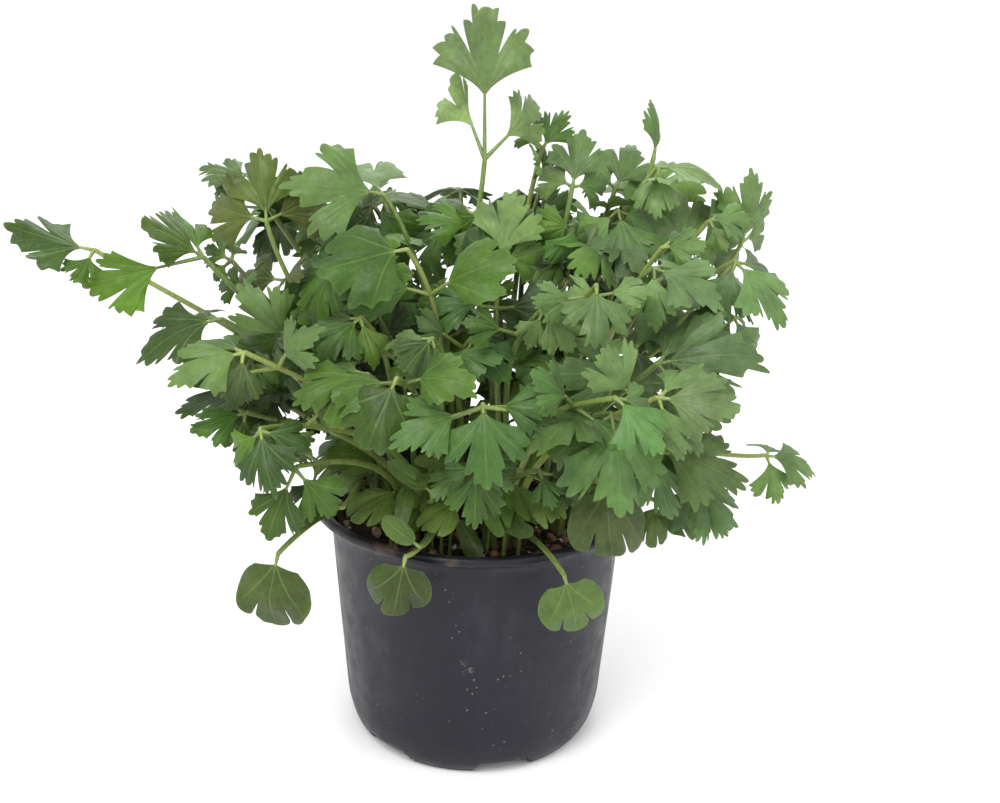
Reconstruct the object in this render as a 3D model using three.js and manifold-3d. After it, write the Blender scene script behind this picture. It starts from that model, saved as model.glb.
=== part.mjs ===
// Potted flat-leaf parsley: a round plastic nursery pot, a plug of potting soil and a bush of long-stalked
// fronds. Millimetres, +Z up. The origin is the centre of the pot's underside, on the surface it stands on;
// the fuller, photographed side of the plant faces -Y.
import * as THREE from "three";
import { mergeVertices } from "three/addons/utils/BufferGeometryUtils.js";
import Module from "manifold-3d";

const wasm = await Module();
wasm.setup();

// ---- driving dimensions ---------------------------------------------------------------------------------
const POT_HEIGHT = 100;
const RIM_RADIUS = 65; // outside of the rolled rim
const NECK_RADIUS = 57.4; // wall just under the rim
const SHOULDER_RADIUS = 51.6; // wall where it turns in to the underside
const FOOT_RADIUS = 46;
const SHOULDER_HEIGHT = 15;
const NECK_HEIGHT = 89;
const WALL = 1.6;
const POT_SEGMENTS = 26;
const NOTCHES = 6; // drain slots in the corner between wall and floor, with the feet between them
const NOTCH_WIDTH = 17;
const NOTCH_HEIGHT = 4.5;
const NOTCH_START = 38; // distance from the axis where a slot begins
const FOOT_TURN = -14; // degrees from -Y to the middle of the front foot

const GAP = 0.35; // clear space between pieces that touch on the real thing
const SOIL_TOP = 92;
const SOIL_RELIEF = 1.3;
const SOIL_RINGS = 3;
const SOIL_SPOKES = 18;
const HOLE_DEPTH = 8;
const HOLE_SIDES = 4;

const BLADE = 0.85; // thickness of a leaf
const STEM_RADIUS = { foot: 1.35, joint: 1 };
const STEM_HALF = 0.75; // half width of the rachis
const STALK_WIDTH = 1.5;
const BULB = { radius: 2.9, height: 2.5, sides: 6, spread: 1.5 }; // the swollen foot of a crown
const STEM_STEPS = 4;
const STEM_SIDES = 4;
const STEM_RISE = 2; // straight stretch over the soil
const STEM_LEAN = { leave: 0.42, arrive: 0.3, turn: 0.55 }; // shares: how the petiole leaves and arrives
const LOW_STEM_RISE = 0.9; // of a young leaf's height over the soil
const FOOT_SHARE = [0.5, 0.45]; // of the joint's distance from the axis: where a frond would rather stand
const NECK_WIDTH = 0.6; // half width of a blade where it joins its stalk
const HUB = 0.2; // share of a leaflet's length where the triangles of its faces meet
const RACHIS = 0.16;
const SIDE_TURN = 66; // degrees between the leaf's direction and a side leaflet's
const SIDE_SHARE = 0.8; // length of a side leaflet beside the last one's
const SIDE_DROP = 22; // degrees that side leaflets hang below the last one, and roll outwards
const SIDE_ROLL = 14;
const LAST_BEND = 28; // degrees that a leaflet bends down from base to tip
const SIDE_BEND = 34;
const INNER = 0.85; // a side leaflet is narrower on the side of the last one
const INNER_CLEAR = 14; // degrees that it keeps from the leaf's direction
const OUTLINE_SPREAD = 47; // widest angle of the outlines below
const TOOTH_TURN = 1.2; // degrees and share of reach that a tooth strays from the outline
const TOOTH_REACH = 0.06;
const SAG = 0.22; // how far the sides of a leaflet hang, and its lobes wave
const WAVE = 0.035;
const CLEAR_BLADE = 1.3; // thickness and extra stem radius that a neighbour has to stay clear of
const CLEAR_STEM = 0.25;
const CLEAR_SELF = 1;
const MOST_DRAWS = 900;
const LOOSEST = 30; // draws after which a frond may move no further from its place
const SEED = 20761;

// Clumps of seedlings that the petioles rise from, as places on the soil.
const CROWNS = [
  [-37, -10],
  [-18, -28],
  [11, -31],
  [34, -18],
  [36, 12],
  [12, 3],
  [12, 32],
  [-13, 28],
  [-35, 16],
  [-12, -3],
];
const CROWN_RADIUS = 8.5;
const SITE_SPACING = 4.7; // between two petioles of a clump
const CHOICES = 5; // nearest free sites that a frond may stand on

// Half outlines of a leaflet, from its tip to its wedge-shaped base, as [degrees from the midrib, share of
// length] seen from where the leaflet joins its stalk. A deep cut parts the middle lobe from the toothed lobe at
// its side.
const OUTLINES = {
  large: [
    [0, 1],
    [9, 0.93],
    [14.5, 0.57],
    [21, 0.85],
    [26, 0.73],
    [32, 0.82],
    [38, 0.68],
    [47, 0.68],
  ],
  medium: [
    [0, 1],
    [10, 0.92],
    [15, 0.58],
    [22, 0.84],
    [28, 0.72],
    [35, 0.8],
    [47, 0.64],
  ],
  small: [
    [0, 1],
    [10, 0.92],
    [15.5, 0.62],
    [28, 0.85],
    [46, 0.65],
  ],
  oval: [
    [0, 1],
    [9, 0.93],
    [16, 0.76],
    [23, 0.5],
  ],
};
const LARGE_LEAFLET = 26;
const MEDIUM_LEAFLET = 21;

// Fronds placed one by one. joint is where the side leaflets leave the stem and tip the end of the last
// leaflet; face is the way the upper side looks. left and right are side leaflets as [degrees from the stem's
// direction, length of stalk, length of leaflet], rachis is the share of joint to tip that is bare, and wide
// spreads the lobes.
const FRONDS = [
  {
    name: "frond_top", foot: [-14, -18], joint: [1, -8, 231], tip: [0, -4, 286], face: [0, -1, 0.2],
    rachis: 0.43, left: [22, 13, 25], right: [46, 12, 22],
  },
  {
    name: "frond_far_left", joint: [-135, -30, 200], tip: [-164, -36, 207], face: [0, -0.4, 1],
    rachis: 0.18, left: [75, 3, 13], right: null, wide: 1.2,
  },
  {
    name: "frond_left_second", joint: [-94, -42, 201], tip: [-113, -52, 217],
    face: [-0.1, -0.6, 0.8], left: [40, 16, 25], right: [60, 4, 20],
  },
  {
    name: "frond_centre", joint: [3, -88, 166], tip: [5, -104, 147], face: [0, -0.9, 0.4],
    rachis: 0.05, left: [86, 9, 17], right: [80, 12, 17], wide: 1.2,
  },
  {
    name: "frond_big_right", joint: [61, -60, 172], tip: [89, -74, 184], face: [0.1, -0.8, 0.6],
    left: [62, 3, 31], right: [62, 3, 27], wide: 1.05,
  },
  {
    name: "frond_left_f", joint: [-59, -78, 139], tip: [-69, -88, 117], face: [-0.2, -1, 0.3],
    rachis: 0.3, left: [62, 4, 18], right: [75, 4, 17],
  },
  {
    name: "frond_round_front", joint: [-25, -84, 173], tip: [-33, -98, 156], face: [0, -0.9, 0.4],
    whole: true, wide: 1.25,
  },
  {
    name: "frond_upper_left", joint: [-34, -20, 220], tip: [-66, -30, 229], face: [-0.2, -0.7, 0.7],
    left: null, right: [68, 4, 27], wide: 1.15,
  },
  {
    name: "frond_round", joint: [-24, -48, 207], tip: [-49, -62, 205], face: [-0.1, -0.8, 0.6],
    whole: true, wide: 1.3,
  },
  {
    name: "frond_left_a", joint: [-88, -48, 181], tip: [-115, -60, 177], face: [-0.2, -0.6, 0.8],
    left: null, right: [50, 4, 24], wide: 1.15,
  },
  { name: "frond_left_b", joint: [-76, -70, 176], tip: [-96, -84, 175], face: [-0.2, -0.8, 0.6] },
  { name: "frond_left_e", joint: [-69, -84, 154], tip: [-65, -98, 138], face: [-0.1, -0.9, 0.4] },
  { name: "frond_left_d", joint: [-79, -60, 152], tip: [-94, -70, 148], face: [-0.3, -0.8, 0.5] },
  { name: "frond_left_c", joint: [-78, -34, 152], tip: [-106, -44, 151], face: [0, -0.3, 1] },
  { name: "frond_right_low", joint: [62, -62, 142], tip: [90, -76, 140], face: [0.1, -0.8, 0.6] },
  {
    name: "frond_right_pale", joint: [60, -84, 166], tip: [88, -98, 171], face: [0.1, -0.7, 0.7],
    wide: 0.95,
  },
  {
    name: "frond_low_centre", joint: [41, -74, 162], tip: [45, -96, 140], face: [0, -0.8, 0.6],
    left: [64, 3, 24], right: [64, 3, 22], wide: 1.1,
  },
  {
    name: "frond_right_x", joint: [90, -28, 201], tip: [110, -40, 185], face: [0.2, -0.7, 0.7],
    left: [60, 4, 24], right: [60, 3, 20],
  },
  {
    name: "frond_right_w", joint: [97, 0, 201], tip: [103, -3, 226], face: [0.4, -0.8, 0.3],
    left: null, right: [64, 3, 19],
  },
  {
    name: "frond_right_top", node: "fronds_right_top", joint: [64, 0, 229], tip: [87, -8, 230],
    face: [0.2, -0.4, 0.9], left: null, right: [85, 3, 16],
  },
  {
    name: "frond_right_spike", node: "fronds_right_top", joint: [63, 4, 232], tip: [66, 8, 252],
    face: [0.8, -0.6, 0], left: null, right: null,
  },
  {
    name: "frond_olive", joint: [-77, -15, 208], tip: [-80, -10, 234], face: [0.1, -0.95, 0.2],
    left: [70, 5, 24], right: [68, 5, 24], wide: 1.1,
  },
  {
    name: "frond_pale_left", node: "fronds_pale", joint: [33, -4, 221], tip: [37, 4, 242],
    face: [0, -0.9, 0.5], wide: 1.1,
  },
  {
    name: "frond_pale_right", node: "fronds_pale", joint: [50, 12, 218], tip: [59, 22, 236],
    face: [0.1, -0.9, 0.5], wide: 1.1,
  },
  { name: "frond_centre_up", joint: [7, -35, 200], tip: [13, -28, 225], face: [0.1, -0.9, 0.4] },
  {
    name: "frond_face", joint: [39, -68, 201], tip: [39, -84, 187], face: [0.05, -0.9, 0.5],
    whole: true, wide: 1.25,
  },
  { name: "frond_right_y", joint: [59, -50, 203], tip: [81, -62, 198], face: [0.1, -0.7, 0.7] },
  { name: "frond_arched", joint: [23, -56, 191], tip: [39, -74, 181], face: [0, -0.7, 0.7] },
  {
    name: "frond_bright", node: "fronds_mid_left", joint: [-36, -76, 172], tip: [-54, -92, 171],
    face: [-0.1, -0.8, 0.6], left: null, right: [60, 3, 19], wide: 1.15,
  },
  {
    name: "frond_front", node: "fronds_front", joint: [1, -80, 142], tip: [1, -92, 125],
    face: [0, -0.9, 0.4], left: [74, 2, 15], right: [74, 2, 15],
  },
  {
    name: "frond_front_right", node: "fronds_front", joint: [24, -66, 134], tip: [23, -80, 125],
    face: [0, -0.8, 0.6], left: [72, 3, 16], right: null,
  },
  {
    name: "frond_right_v", node: "fronds_right_back", joint: [82, -14, 212], tip: [96, -20, 217],
    face: [0.2, -0.6, 0.8],
  },
  {
    name: "frond_right_u", node: "fronds_right_back", joint: [64, -30, 204], tip: [81, -42, 209],
    face: [0.2, -0.7, 0.7], right: null,
  },
  {
    name: "frond_curly", joint: [47, -98, 173], tip: [57, -108, 161], face: [0.3, -0.8, 0.5],
    left: [64, 2, 15], right: null,
  },
  {
    name: "frond_thin_up", node: "fronds_small_top", joint: [22, 15, 232], tip: [31, 18, 247],
    face: [0.1, -0.8, 0.6], left: [75, 3, 13], right: null,
  },
  { name: "frond_upper_left_back", joint: [-86, 4, 219], tip: [-104, 8, 228], face: [-0.2, -0.4, 0.9] },
  {
    name: "frond_inner_left", node: "fronds_left_inner", joint: [-49, -36, 199], tip: [-60, -50, 182],
    face: [-0.5, -0.7, 0.5], left: null,
  },
  {
    name: "frond_left_g", node: "fronds_left_inner", joint: [-66, -50, 177], tip: [-80, -64, 189],
    face: [-0.1, -0.8, 0.6], right: null,
  },
  {
    name: "frond_left_h", node: "fronds_left_inner", joint: [-64, -45, 150], tip: [-78, -55, 158],
    face: [-0.1, -0.8, 0.6], left: null,
  },
  {
    name: "frond_mid_left", node: "fronds_mid_left", joint: [-39, -56, 185], tip: [-52, -72, 178],
    face: [-0.1, -0.7, 0.7],
  },
  {
    name: "frond_mid_centre", node: "fronds_mid_centre", joint: [-19, -62, 184],
    tip: [-23, -78, 172], face: [0, -0.8, 0.6],
  },
  {
    name: "frond_mid_inner", node: "fronds_mid_centre", joint: [-2, -44, 175], tip: [10, -57, 166],
    face: [0, -0.8, 0.6],
  },
  { name: "frond_mid_right", joint: [33, -56, 170], tip: [22, -70, 161], face: [0, -0.8, 0.6] },
  {
    name: "frond_small_top", node: "fronds_small_top", joint: [-3, 4, 209], tip: [-19, 0, 215],
    face: [0, -0.6, 0.8], left: null, right: [64, 3, 12],
  },
  { name: "frond_right_small", joint: [95, -6, 175], tip: [106, -12, 158], face: [0.4, -0.7, 0.6] },
  { name: "frond_right_reach", joint: [114, 5, 115], tip: [138, 7, 112], face: [0.2, -0.5, 0.8] },
  { name: "frond_right_under", joint: [77, -46, 124], tip: [93, -60, 114], face: [0.3, -0.7, 0.6] },
];

// Young leaves low over the rim and on the soil. arrive is the last stretch of the stem before the joint.
const YOUNG = [
  {
    name: "young_rim_left", foot: [-6, -44], joint: [-23, -72, 104], tip: [-27, -76, 84],
    face: [0, -1, 0.25], arrive: [-8, -10, 1], whole: true, wide: 1.25,
  },
  {
    name: "young_rim_round", foot: [-12, -46], joint: [-18, -70, 107], tip: [-30, -75, 118],
    face: [0, -1, 0.3], arrive: [-5, -10, 2], oval: true, wide: 1.3,
  },
  {
    name: "young_seed_leaf", foot: [-16, -40], joint: [-7, -44, 108], tip: [3, -57, 99],
    face: [0.3, -0.7, 0.8], arrive: [4, -2, 4], oval: true, wide: 1.1,
  },
  {
    name: "young_oval_left", foot: [-22, -44], joint: [-15, -54, 121], tip: [-27, -62, 134],
    face: [0.3, -0.9, 0.3], arrive: [-2, -2, 12], oval: true,
  },
  {
    name: "young_hang_left", foot: [-44, -22], joint: [-66, -78, 107], tip: [-71, -85, 84],
    face: [-0.2, -1, 0.3], arrive: [-10, -14, -8], whole: true, wide: 1.2,
  },
  {
    name: "young_olive_left", foot: [-47, -8], joint: [-46, -58, 116], tip: [-59, -70, 119],
    face: [0, -0.3, 1], arrive: [-2, -12, 2], oval: true, wide: 1.2,
  },
  {
    name: "young_hang_right", foot: [20, -40], joint: [32, -73, 99], tip: [38, -78, 80],
    face: [0.1, -1, 0.2], arrive: [5, -9, -5], whole: true, wide: 1.3,
  },
  {
    name: "young_rim_right", foot: [34, -32], joint: [46, -50, 125], tip: [49, -66, 107],
    face: [0.1, -0.9, 0.5], arrive: [4, -6, 5], whole: true, wide: 1.3,
  },
  {
    name: "young_thin_right", foot: [46, -12], joint: [67, -34, 111], tip: [80, -44, 107],
    face: [0.2, -0.6, 0.8], arrive: [10, -8, -2],
  },
];

// The rest of the bush by rule: crowns whose fronds fan out from one foot. Round the back and the sides a
// crown leans at its own turn from +X and may skip a tier. Tiers are [reach from the pot's axis, height, length,
// fall over it, turn].
const ROUND_CROWNS = [
  { name: "crown_right", turn: 8, foot: [30, 6] },
  { name: "crown_back_right", turn: 50, foot: [18, 26] },
  { name: "crown_back", turn: 92, foot: [-2, 32] },
  { name: "crown_back_left", turn: 134, foot: [-22, 24] },
  { name: "crown_left", turn: 168, foot: [-32, 10] },
  { name: "crown_side_left", turn: 201, foot: [-40, -2], skip: 1 },
];
const TIERS = [
  [82, 206, 36, -0.35, -12],
  [44, 212, 34, -0.05, 10],
  [78, 158, 36, -0.4, 12],
];
const DEPTH_SHARE = 0.9; // the bush is a little flatter from front to back

// Crowns in the middle of the bush, whose fronds stand in layers behind the front ones and look forward: each
// crown has its place from left to right and its lowest layer, and each layer is [height, distance in front of
// the axis, step aside].
const MIDDLE_CROWNS = [
  { name: "crown_middle_left", aside: -46, lowest: 1, foot: [-20, -2] },
  { name: "crown_centre_left", aside: -17, lowest: 2, foot: [-10, 4] },
  { name: "crown_centre_right", aside: 14, lowest: 2, foot: [12, 0] },
  { name: "crown_middle_right", aside: 44, lowest: 2, foot: [32, -4] },
];
const LAYERS = [
  [146, 38, -7],
  [170, 28, 8],
  [194, 16, -7],
  [214, 4, 6],
  [204, -16, -6],
];
const LAYER_LEAF = [7, -22, -22]; // from joint to tip, with the first number away from the middle
const LAYER_FACE = [0, -0.75, 0.65];
const CROWN_PLAY = 2.2; // how much further a crown's frond may move from its place than one placed by itself

// ---- numbers and draws ----------------------------------------------------------------------------------
const vector = (list) => new THREE.Vector3(...list);
const radians = THREE.MathUtils.degToRad;
const mix = (low, high, share) => low + (high - low) * share;

// Mulberry32: a small seeded generator that gives the same numbers everywhere.
function generator(seed) {
  let state = seed >>> 0;
  return () => {
    state = (state + 0x6d2b79f5) >>> 0;
    let bits = Math.imul(state ^ (state >>> 15), state | 1);
    bits ^= bits + Math.imul(bits ^ (bits >>> 7), bits | 61);
    return ((bits ^ (bits >>> 14)) >>> 0) / 4294967296;
  };
}

// ---- solids ---------------------------------------------------------------------------------------------
function solidOf(geometry) {
  const bare = geometry.clone();
  bare.deleteAttribute("normal");
  bare.deleteAttribute("uv");
  const merged = mergeVertices(bare, 1e-4);
  return new wasm.Manifold(
    new wasm.Mesh({
      numProp: 3,
      vertProperties: new Float32Array(merged.attributes.position.array),
      triVerts: new Uint32Array(merged.index.array),
    }),
  );
}

function geometryOf(solid) {
  const mesh = solid.getMesh();
  const geometry = new THREE.BufferGeometry();
  geometry.setAttribute("position", new THREE.BufferAttribute(new Float32Array(mesh.vertProperties), 3));
  geometry.setIndex(new THREE.BufferAttribute(new Uint32Array(mesh.triVerts), 1));
  geometry.computeVertexNormals();
  return geometry;
}

function solidFrom(points, faces) {
  const geometry = new THREE.BufferGeometry();
  const numbers = points.flatMap((p) => [p.x, p.y, p.z]);
  geometry.setAttribute("position", new THREE.Float32BufferAttribute(numbers, 3));
  geometry.setIndex(faces.flat());
  return solidOf(geometry);
}

// Corners of a stem's section at each point of its path. across starts the turn of the sections.
function rings(points, radii, sides, across) {
  let flat = across.clone();
  return points.map((point, i) => {
    const ahead = points[Math.min(i + 1, points.length - 1)];
    const behind = points[Math.max(i - 1, 0)];
    const along = ahead.clone().sub(behind).normalize();
    flat = flat.clone().addScaledVector(along, -flat.dot(along)).normalize();
    const up = along.clone().cross(flat);
    return Array.from({ length: sides }, (_, k) => {
      const turn = (2 * Math.PI * (k + 0.5)) / sides;
      const corner = point.clone().addScaledVector(flat, radii[i] * Math.cos(turn));
      return corner.addScaledVector(up, radii[i] * Math.sin(turn));
    });
  });
}

// Faces between a run of rings that start at index first, and across the run's far end.
function wallFaces(first, count, sides) {
  const faces = [];
  const last = first + (count - 1) * sides;
  for (let k = 0; k < sides; k++) {
    const next = (k + 1) % sides;
    for (let i = first; i < last; i += sides) {
      faces.push([i + k, i + next, i + sides + next], [i + k, i + sides + next, i + sides + k]);
    }
    if (k > 0 && k < sides - 1) {
      faces.push([last, last + k, last + next]);
    }
  }
  return faces;
}

// A closed tube of few sides.
function tube(points, radii, sides) {
  const corners = rings(points, radii, sides, new THREE.Vector3(1, 0, 0)).flat();
  const faces = wallFaces(0, points.length, sides);
  for (let k = 1; k < sides - 1; k++) {
    faces.push([0, k + 1, k]);
  }
  return solidFrom(corners, faces);
}

// ---- leaflets -------------------------------------------------------------------------------------------
// The whole outline, from one end of the wedge round the tip to the other, each tooth a little off the rule.
function outlineOf(leaflet) {
  const half = OUTLINES[leafSize(leaflet)];
  const right = half.slice(1).reverse();
  const left = half.map(([degrees, reach]) => [-degrees, reach]);
  return [...right, ...left].map(([degrees, reach], i) => {
    const wobble = Math.sin(leaflet.seed * 7.3 + i * 2.1);
    const spread = degrees * leaflet.wide * leaflet.inner[degrees > 0 ? 0 : 1];
    const turn = radians(spread + TOOTH_TURN * Math.sin(leaflet.seed * 3.7 + i * 1.3));
    return [turn, reach * (1 + TOOTH_REACH * wobble)];
  });
}

function leafSize({ oval, plain, length }) {
  if (oval) return "oval";
  if (plain || length < MEDIUM_LEAFLET) return "small";
  return length < LARGE_LEAFLET ? "medium" : "large";
}

// A point of the blade: turn and reach are polar about the leaflet's base. The blade bends down along an arc,
// its sides sag and its lobes wave.
function bladePoint(leaflet, turn, reach) {
  const { base, along, normal, length, bend, seed } = leaflet;
  const side = normal.clone().cross(along);
  const ahead = reach * length * Math.cos(turn);
  const aside = reach * length * Math.sin(turn);
  const curve = radians(bend) / length;
  const sag = (SAG * aside * aside) / length;
  const wave = WAVE * length * Math.sin(4 * turn + seed * 5) * reach * reach;
  const fall = (1 - Math.cos(curve * ahead)) / curve + sag + wave;
  return base
    .clone()
    .addScaledVector(along, Math.sin(curve * ahead) / curve)
    .addScaledVector(side, aside)
    .addScaledVector(normal, -fall);
}

// A leaflet's middle surface: points with the way they face, the loop round its edge and a fan about the hub.
function fanOf(leaflet) {
  const neck = NECK_WIDTH / leaflet.length;
  const outline = [[Math.PI / 2, neck], ...outlineOf(leaflet), [-Math.PI / 2, neck]];
  const points = outline.map(([turn, reach]) => bladePoint(leaflet, turn, reach));
  const hub = points.length;
  points.push(bladePoint(leaflet, 0, HUB));
  const fan = outline.map((_, i) => [hub, (i + 1) % hub, i]);
  return { points, hub, fan, normals: points.map(() => leaflet.normal) };
}

// A closed sheet of even thickness on a middle surface. Both faces are split into the same triangles.
function sheet(surface, thickness) {
  const { points, normals, triangles, loop } = surface;
  const count = points.length;
  const half = thickness / 2;
  const offset = (sign) => points.map((p, i) => p.clone().addScaledVector(normals[i], sign * half));
  const faces = triangles.flatMap(([a, b, c]) => [
    [a, b, c],
    [a + count, c + count, b + count],
  ]);
  for (let i = 0; i < loop.length - 1; i++) {
    const [here, next] = [loop[i], loop[i + 1]];
    faces.push([here, next, next + count], [here, next + count, here + count]);
  }
  return { corners: [...offset(1), ...offset(-1)], faces, count };
}

// One leaflet as a closed body by itself.
function bladeSolid(leaflet, thickness) {
  const { points, normals, hub, fan } = fanOf(leaflet);
  const loop = [...Array(hub).keys(), 0];
  const { corners, faces } = sheet({ points, normals, triangles: fan, loop }, thickness);
  return solidFrom(corners, faces);
}

// ---- fronds ---------------------------------------------------------------------------------------------
// Places on the soil where a petiole can stand: a triangular lattice, kept near the crowns.
function lattice() {
  const sites = [];
  const rows = Math.ceil(NECK_RADIUS / SITE_SPACING) + 1;
  for (let row = -rows; row <= rows; row++) {
    for (let column = -rows; column <= rows; column++) {
      const x = SITE_SPACING * (column + (row % 2 ? 0.5 : 0));
      const y = SITE_SPACING * row * Math.sin(Math.PI / 3);
      if (CROWNS.some((crown) => Math.hypot(crown[0] - x, crown[1] - y) < CROWN_RADIUS)) {
        sites.push([x, y]);
      }
    }
  }
  return sites;
}

// Where a frond stands and how its leaf lies, for one draw: the first is as placed, later ones move further.
function poseOf(frond, random, draw) {
  const loose = Math.min(draw, LOOSEST);
  const shift = (amount) => (random() - 0.5) * amount * loose * (frond.play ?? 1);
  const joint = vector(frond.joint).add(vector([shift(0.5), shift(0.5), shift(0.4)]));
  const tip = vector(frond.tip).add(vector([shift(0.6), shift(0.6), shift(0.5)]));
  const face = vector(frond.face).add(vector([shift(0.03), shift(0.03), shift(0.03)]));
  const bow = vector([shift(0.7), shift(0.7), 0]);
  const [x, y] = frond.foot ?? FOOT_SHARE.map((share, i) => share * frond.joint[i]);
  const away = (site) => Math.hypot(site[0] - x, site[1] - y);
  const choice = Math.floor(random() * Math.min(CHOICES, 1 + draw));
  const site = [...freeSites].sort((a, b) => away(a) - away(b))[choice];
  return { joint, tip, face, bow, site, foot: vector([...site, SOIL_TOP]) };
}

// The frond's leaflets and the path of its stem, from the joint down to the foot.
function layOut(frond, pose, seed, shared) {
  const { joint, tip, face } = pose;
  const reach = tip.distanceTo(joint);
  const along = tip.clone().sub(joint).normalize();
  const normal = face.clone().addScaledVector(along, -face.dot(along)).normalize();
  const side = normal.clone().cross(along);
  const rachis = Math.max(reach * (frond.rachis ?? RACHIS), 2 * STALK_WIDTH);
  const length = reach - rachis;
  const common = { oval: frond.oval ?? false, plain: frond.plain ?? false, wide: frond.wide ?? 1 };
  const base = joint.clone().addScaledVector(along, rachis);
  const last = { ...common, base, along, normal, length, bend: LAST_BEND, seed, inner: [1, 1] };
  const usual = [SIDE_TURN, Math.max(0.1 * reach, 2), SIDE_SHARE * length];
  const [left, right] = [frond.left, frond.right].map((leaf, i) => {
    if (leaf === null || frond.whole || frond.oval) return null;
    const [degrees, stalk, sideLength] = leaf ?? usual;
    const hand = i === 0 ? 1 : -1;
    const heading = along.clone().multiplyScalar(Math.cos(radians(degrees)));
    heading.addScaledVector(side, hand * Math.sin(radians(degrees)));
    heading.addScaledVector(normal, -Math.tan(radians(SIDE_DROP))).normalize();
    const tilted = normal.clone().addScaledVector(side, hand * Math.tan(radians(SIDE_ROLL)));
    tilted.addScaledVector(heading, -heading.dot(tilted)).normalize();
    const start = joint.clone().addScaledVector(along, STALK_WIDTH / 2);
    start.addScaledVector(heading, stalk + STEM_HALF);
    const narrowed = Math.min(INNER, (degrees - INNER_CLEAR) / (OUTLINE_SPREAD * common.wide));
    const inner = hand > 0 ? [1, narrowed] : [narrowed, 1];
    return {
      ...common,
      base: start,
      along: heading,
      normal: tilted,
      length: sideLength,
      bend: SIDE_BEND,
      seed: seed + hand * 0.37,
      inner,
    };
  });
  return { joint, along, normal, side, last, left, right, path: stemPath(frond, pose, along, shared) };
}

// The petiole rises straight from its hole, leans out along a smooth curve and arrives along the leaf.
function stemPath(frond, { joint, foot, bow }, along, shared) {
  const aim = joint.clone().sub(foot);
  const climb = aim.length();
  const rise = foot.clone().setZ(SOIL_TOP + (shared ? 0 : STEM_RISE));
  if (shared) {
    rise.add(aim.clone().setZ(0).clampLength(0, BULB.spread));
  }
  const first = rise.clone().add(bow);
  const arrive = aim.clone().normalize().addScaledVector(along, STEM_LEAN.turn);
  arrive.setLength(STEM_LEAN.arrive * climb);
  if (frond.arrive) {
    arrive.set(...frond.arrive);
    first.z += LOW_STEM_RISE * Math.max(joint.z - SOIL_TOP, 10);
  } else {
    first.z += STEM_LEAN.leave * climb;
  }
  const curve = new THREE.CubicBezierCurve3(joint, joint.clone().sub(arrive), first, rise);
  const path = curve.getPoints(STEM_STEPS);
  if (!shared) {
    path.push(foot.clone().setZ(SOIL_TOP - HOLE_DEPTH + GAP));
  }
  return path;
}

// The leaf's middle surface: the flat rachis with a leaflet at its end and one on a stalk at either side, as
// one loop of edge that starts and ends at the petiole.
function leafSurface(layout) {
  const { joint, along, normal, side, last, left, right } = layout;
  const points = [];
  const normals = [];
  const triangles = [];
  const place = (ahead, aside) => {
    points.push(joint.clone().addScaledVector(along, ahead).addScaledVector(side, aside));
    normals.push(normal);
    return points.length - 1;
  };
  const attach = (leaflet) => {
    const { points: own, normals: facing, hub, fan } = fanOf(leaflet);
    const start = points.length;
    points.push(...own);
    normals.push(...facing);
    triangles.push(...fan.map((face) => face.map((i) => i + start)));
    return Array.from({ length: hub }, (_, i) => start + i);
  };
  const backLeft = place(0, STEM_HALF);
  const frontLeft = place(STALK_WIDTH, STEM_HALF);
  const backRight = place(0, -STEM_HALF);
  const frontRight = place(STALK_WIDTH, -STEM_HALF);
  const end = attach(last);
  const [endLeft, endRight] = [end[0], end[end.length - 1]];
  triangles.push([backLeft, backRight, frontRight], [backLeft, frontRight, frontLeft]);
  triangles.push([frontLeft, frontRight, endRight], [frontLeft, endRight, endLeft]);
  const loop = [backLeft];
  if (left) {
    const edge = attach(left);
    const [back, front] = [edge[0], edge[edge.length - 1]];
    triangles.push([back, backLeft, frontLeft], [back, frontLeft, front]);
    loop.push(...edge);
  }
  loop.push(frontLeft, ...end, frontRight);
  if (right) {
    const edge = attach(right);
    const [front, back] = [edge[0], edge[edge.length - 1]];
    triangles.push([front, frontRight, backRight], [front, backRight, back]);
    loop.push(...edge);
  }
  loop.push(backRight);
  return { points, normals, triangles, loop };
}

// One closed body: the leaf, and the petiole that runs down from its edge into the soil.
function grow(layout, extraBlade = 0, extraStem = 0) {
  const { corners, faces, count } = sheet(leafSurface(layout), BLADE + extraBlade);
  const backLeft = 0;
  const backRight = 2;
  const collar = [backLeft + count, backRight + count, backRight, backLeft].map((i) => corners[i]);
  const { path, side } = layout;
  const radii = path.map((_, i) => mix(STEM_RADIUS.joint, STEM_RADIUS.foot, i / STEM_STEPS) + extraStem);
  const thickest = STEM_RADIUS.foot + extraStem;
  const below = radii.slice(1).map((radius) => Math.min(radius, thickest));
  const sections = rings(path.slice(1), below, STEM_SIDES, side);
  const start = corners.length;
  corners.push(...matchTurn(collar, sections[0], sections).flat());
  faces.push(...wallFaces(start, sections.length + 1, STEM_SIDES));
  return solidFrom(corners, faces);
}

// Starts every section at the corner that lies nearest the collar's first, so that the walls don't twist.
function matchTurn(collar, section, sections) {
  const turned = (ring, shift) => ring.map((_, k) => ring[(k + shift) % STEM_SIDES]);
  const gapTo = (corner, k) => corner.distanceTo(collar[k]);
  const spread = (shift) => turned(section, shift).reduce((sum, corner, k) => sum + gapTo(corner, k), 0);
  const shift = [...collar.keys()].reduce((best, k) => (spread(k) < spread(best) ? k : best));
  return [collar, ...sections.map((ring) => turned(ring, shift))];
}

// A leaf whose leaflets or petiole cross each other is no single skin, so it is drawn again.
function crossesItself(layout) {
  const leaflets = [layout.last, layout.left, layout.right].filter(Boolean);
  const blades = leaflets.map((leaf) => bladeSolid(leaf, CLEAR_SELF));
  const below = layout.path.slice(1);
  const stem = tube(below, below.map(() => STEM_RADIUS.foot), STEM_SIDES);
  const meet = (a, b) => a.intersect(b).volume() > 0;
  return blades.some((a, i) => meet(a, stem) || blades.slice(i + 1).some((b) => meet(a, b)));
}

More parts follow.
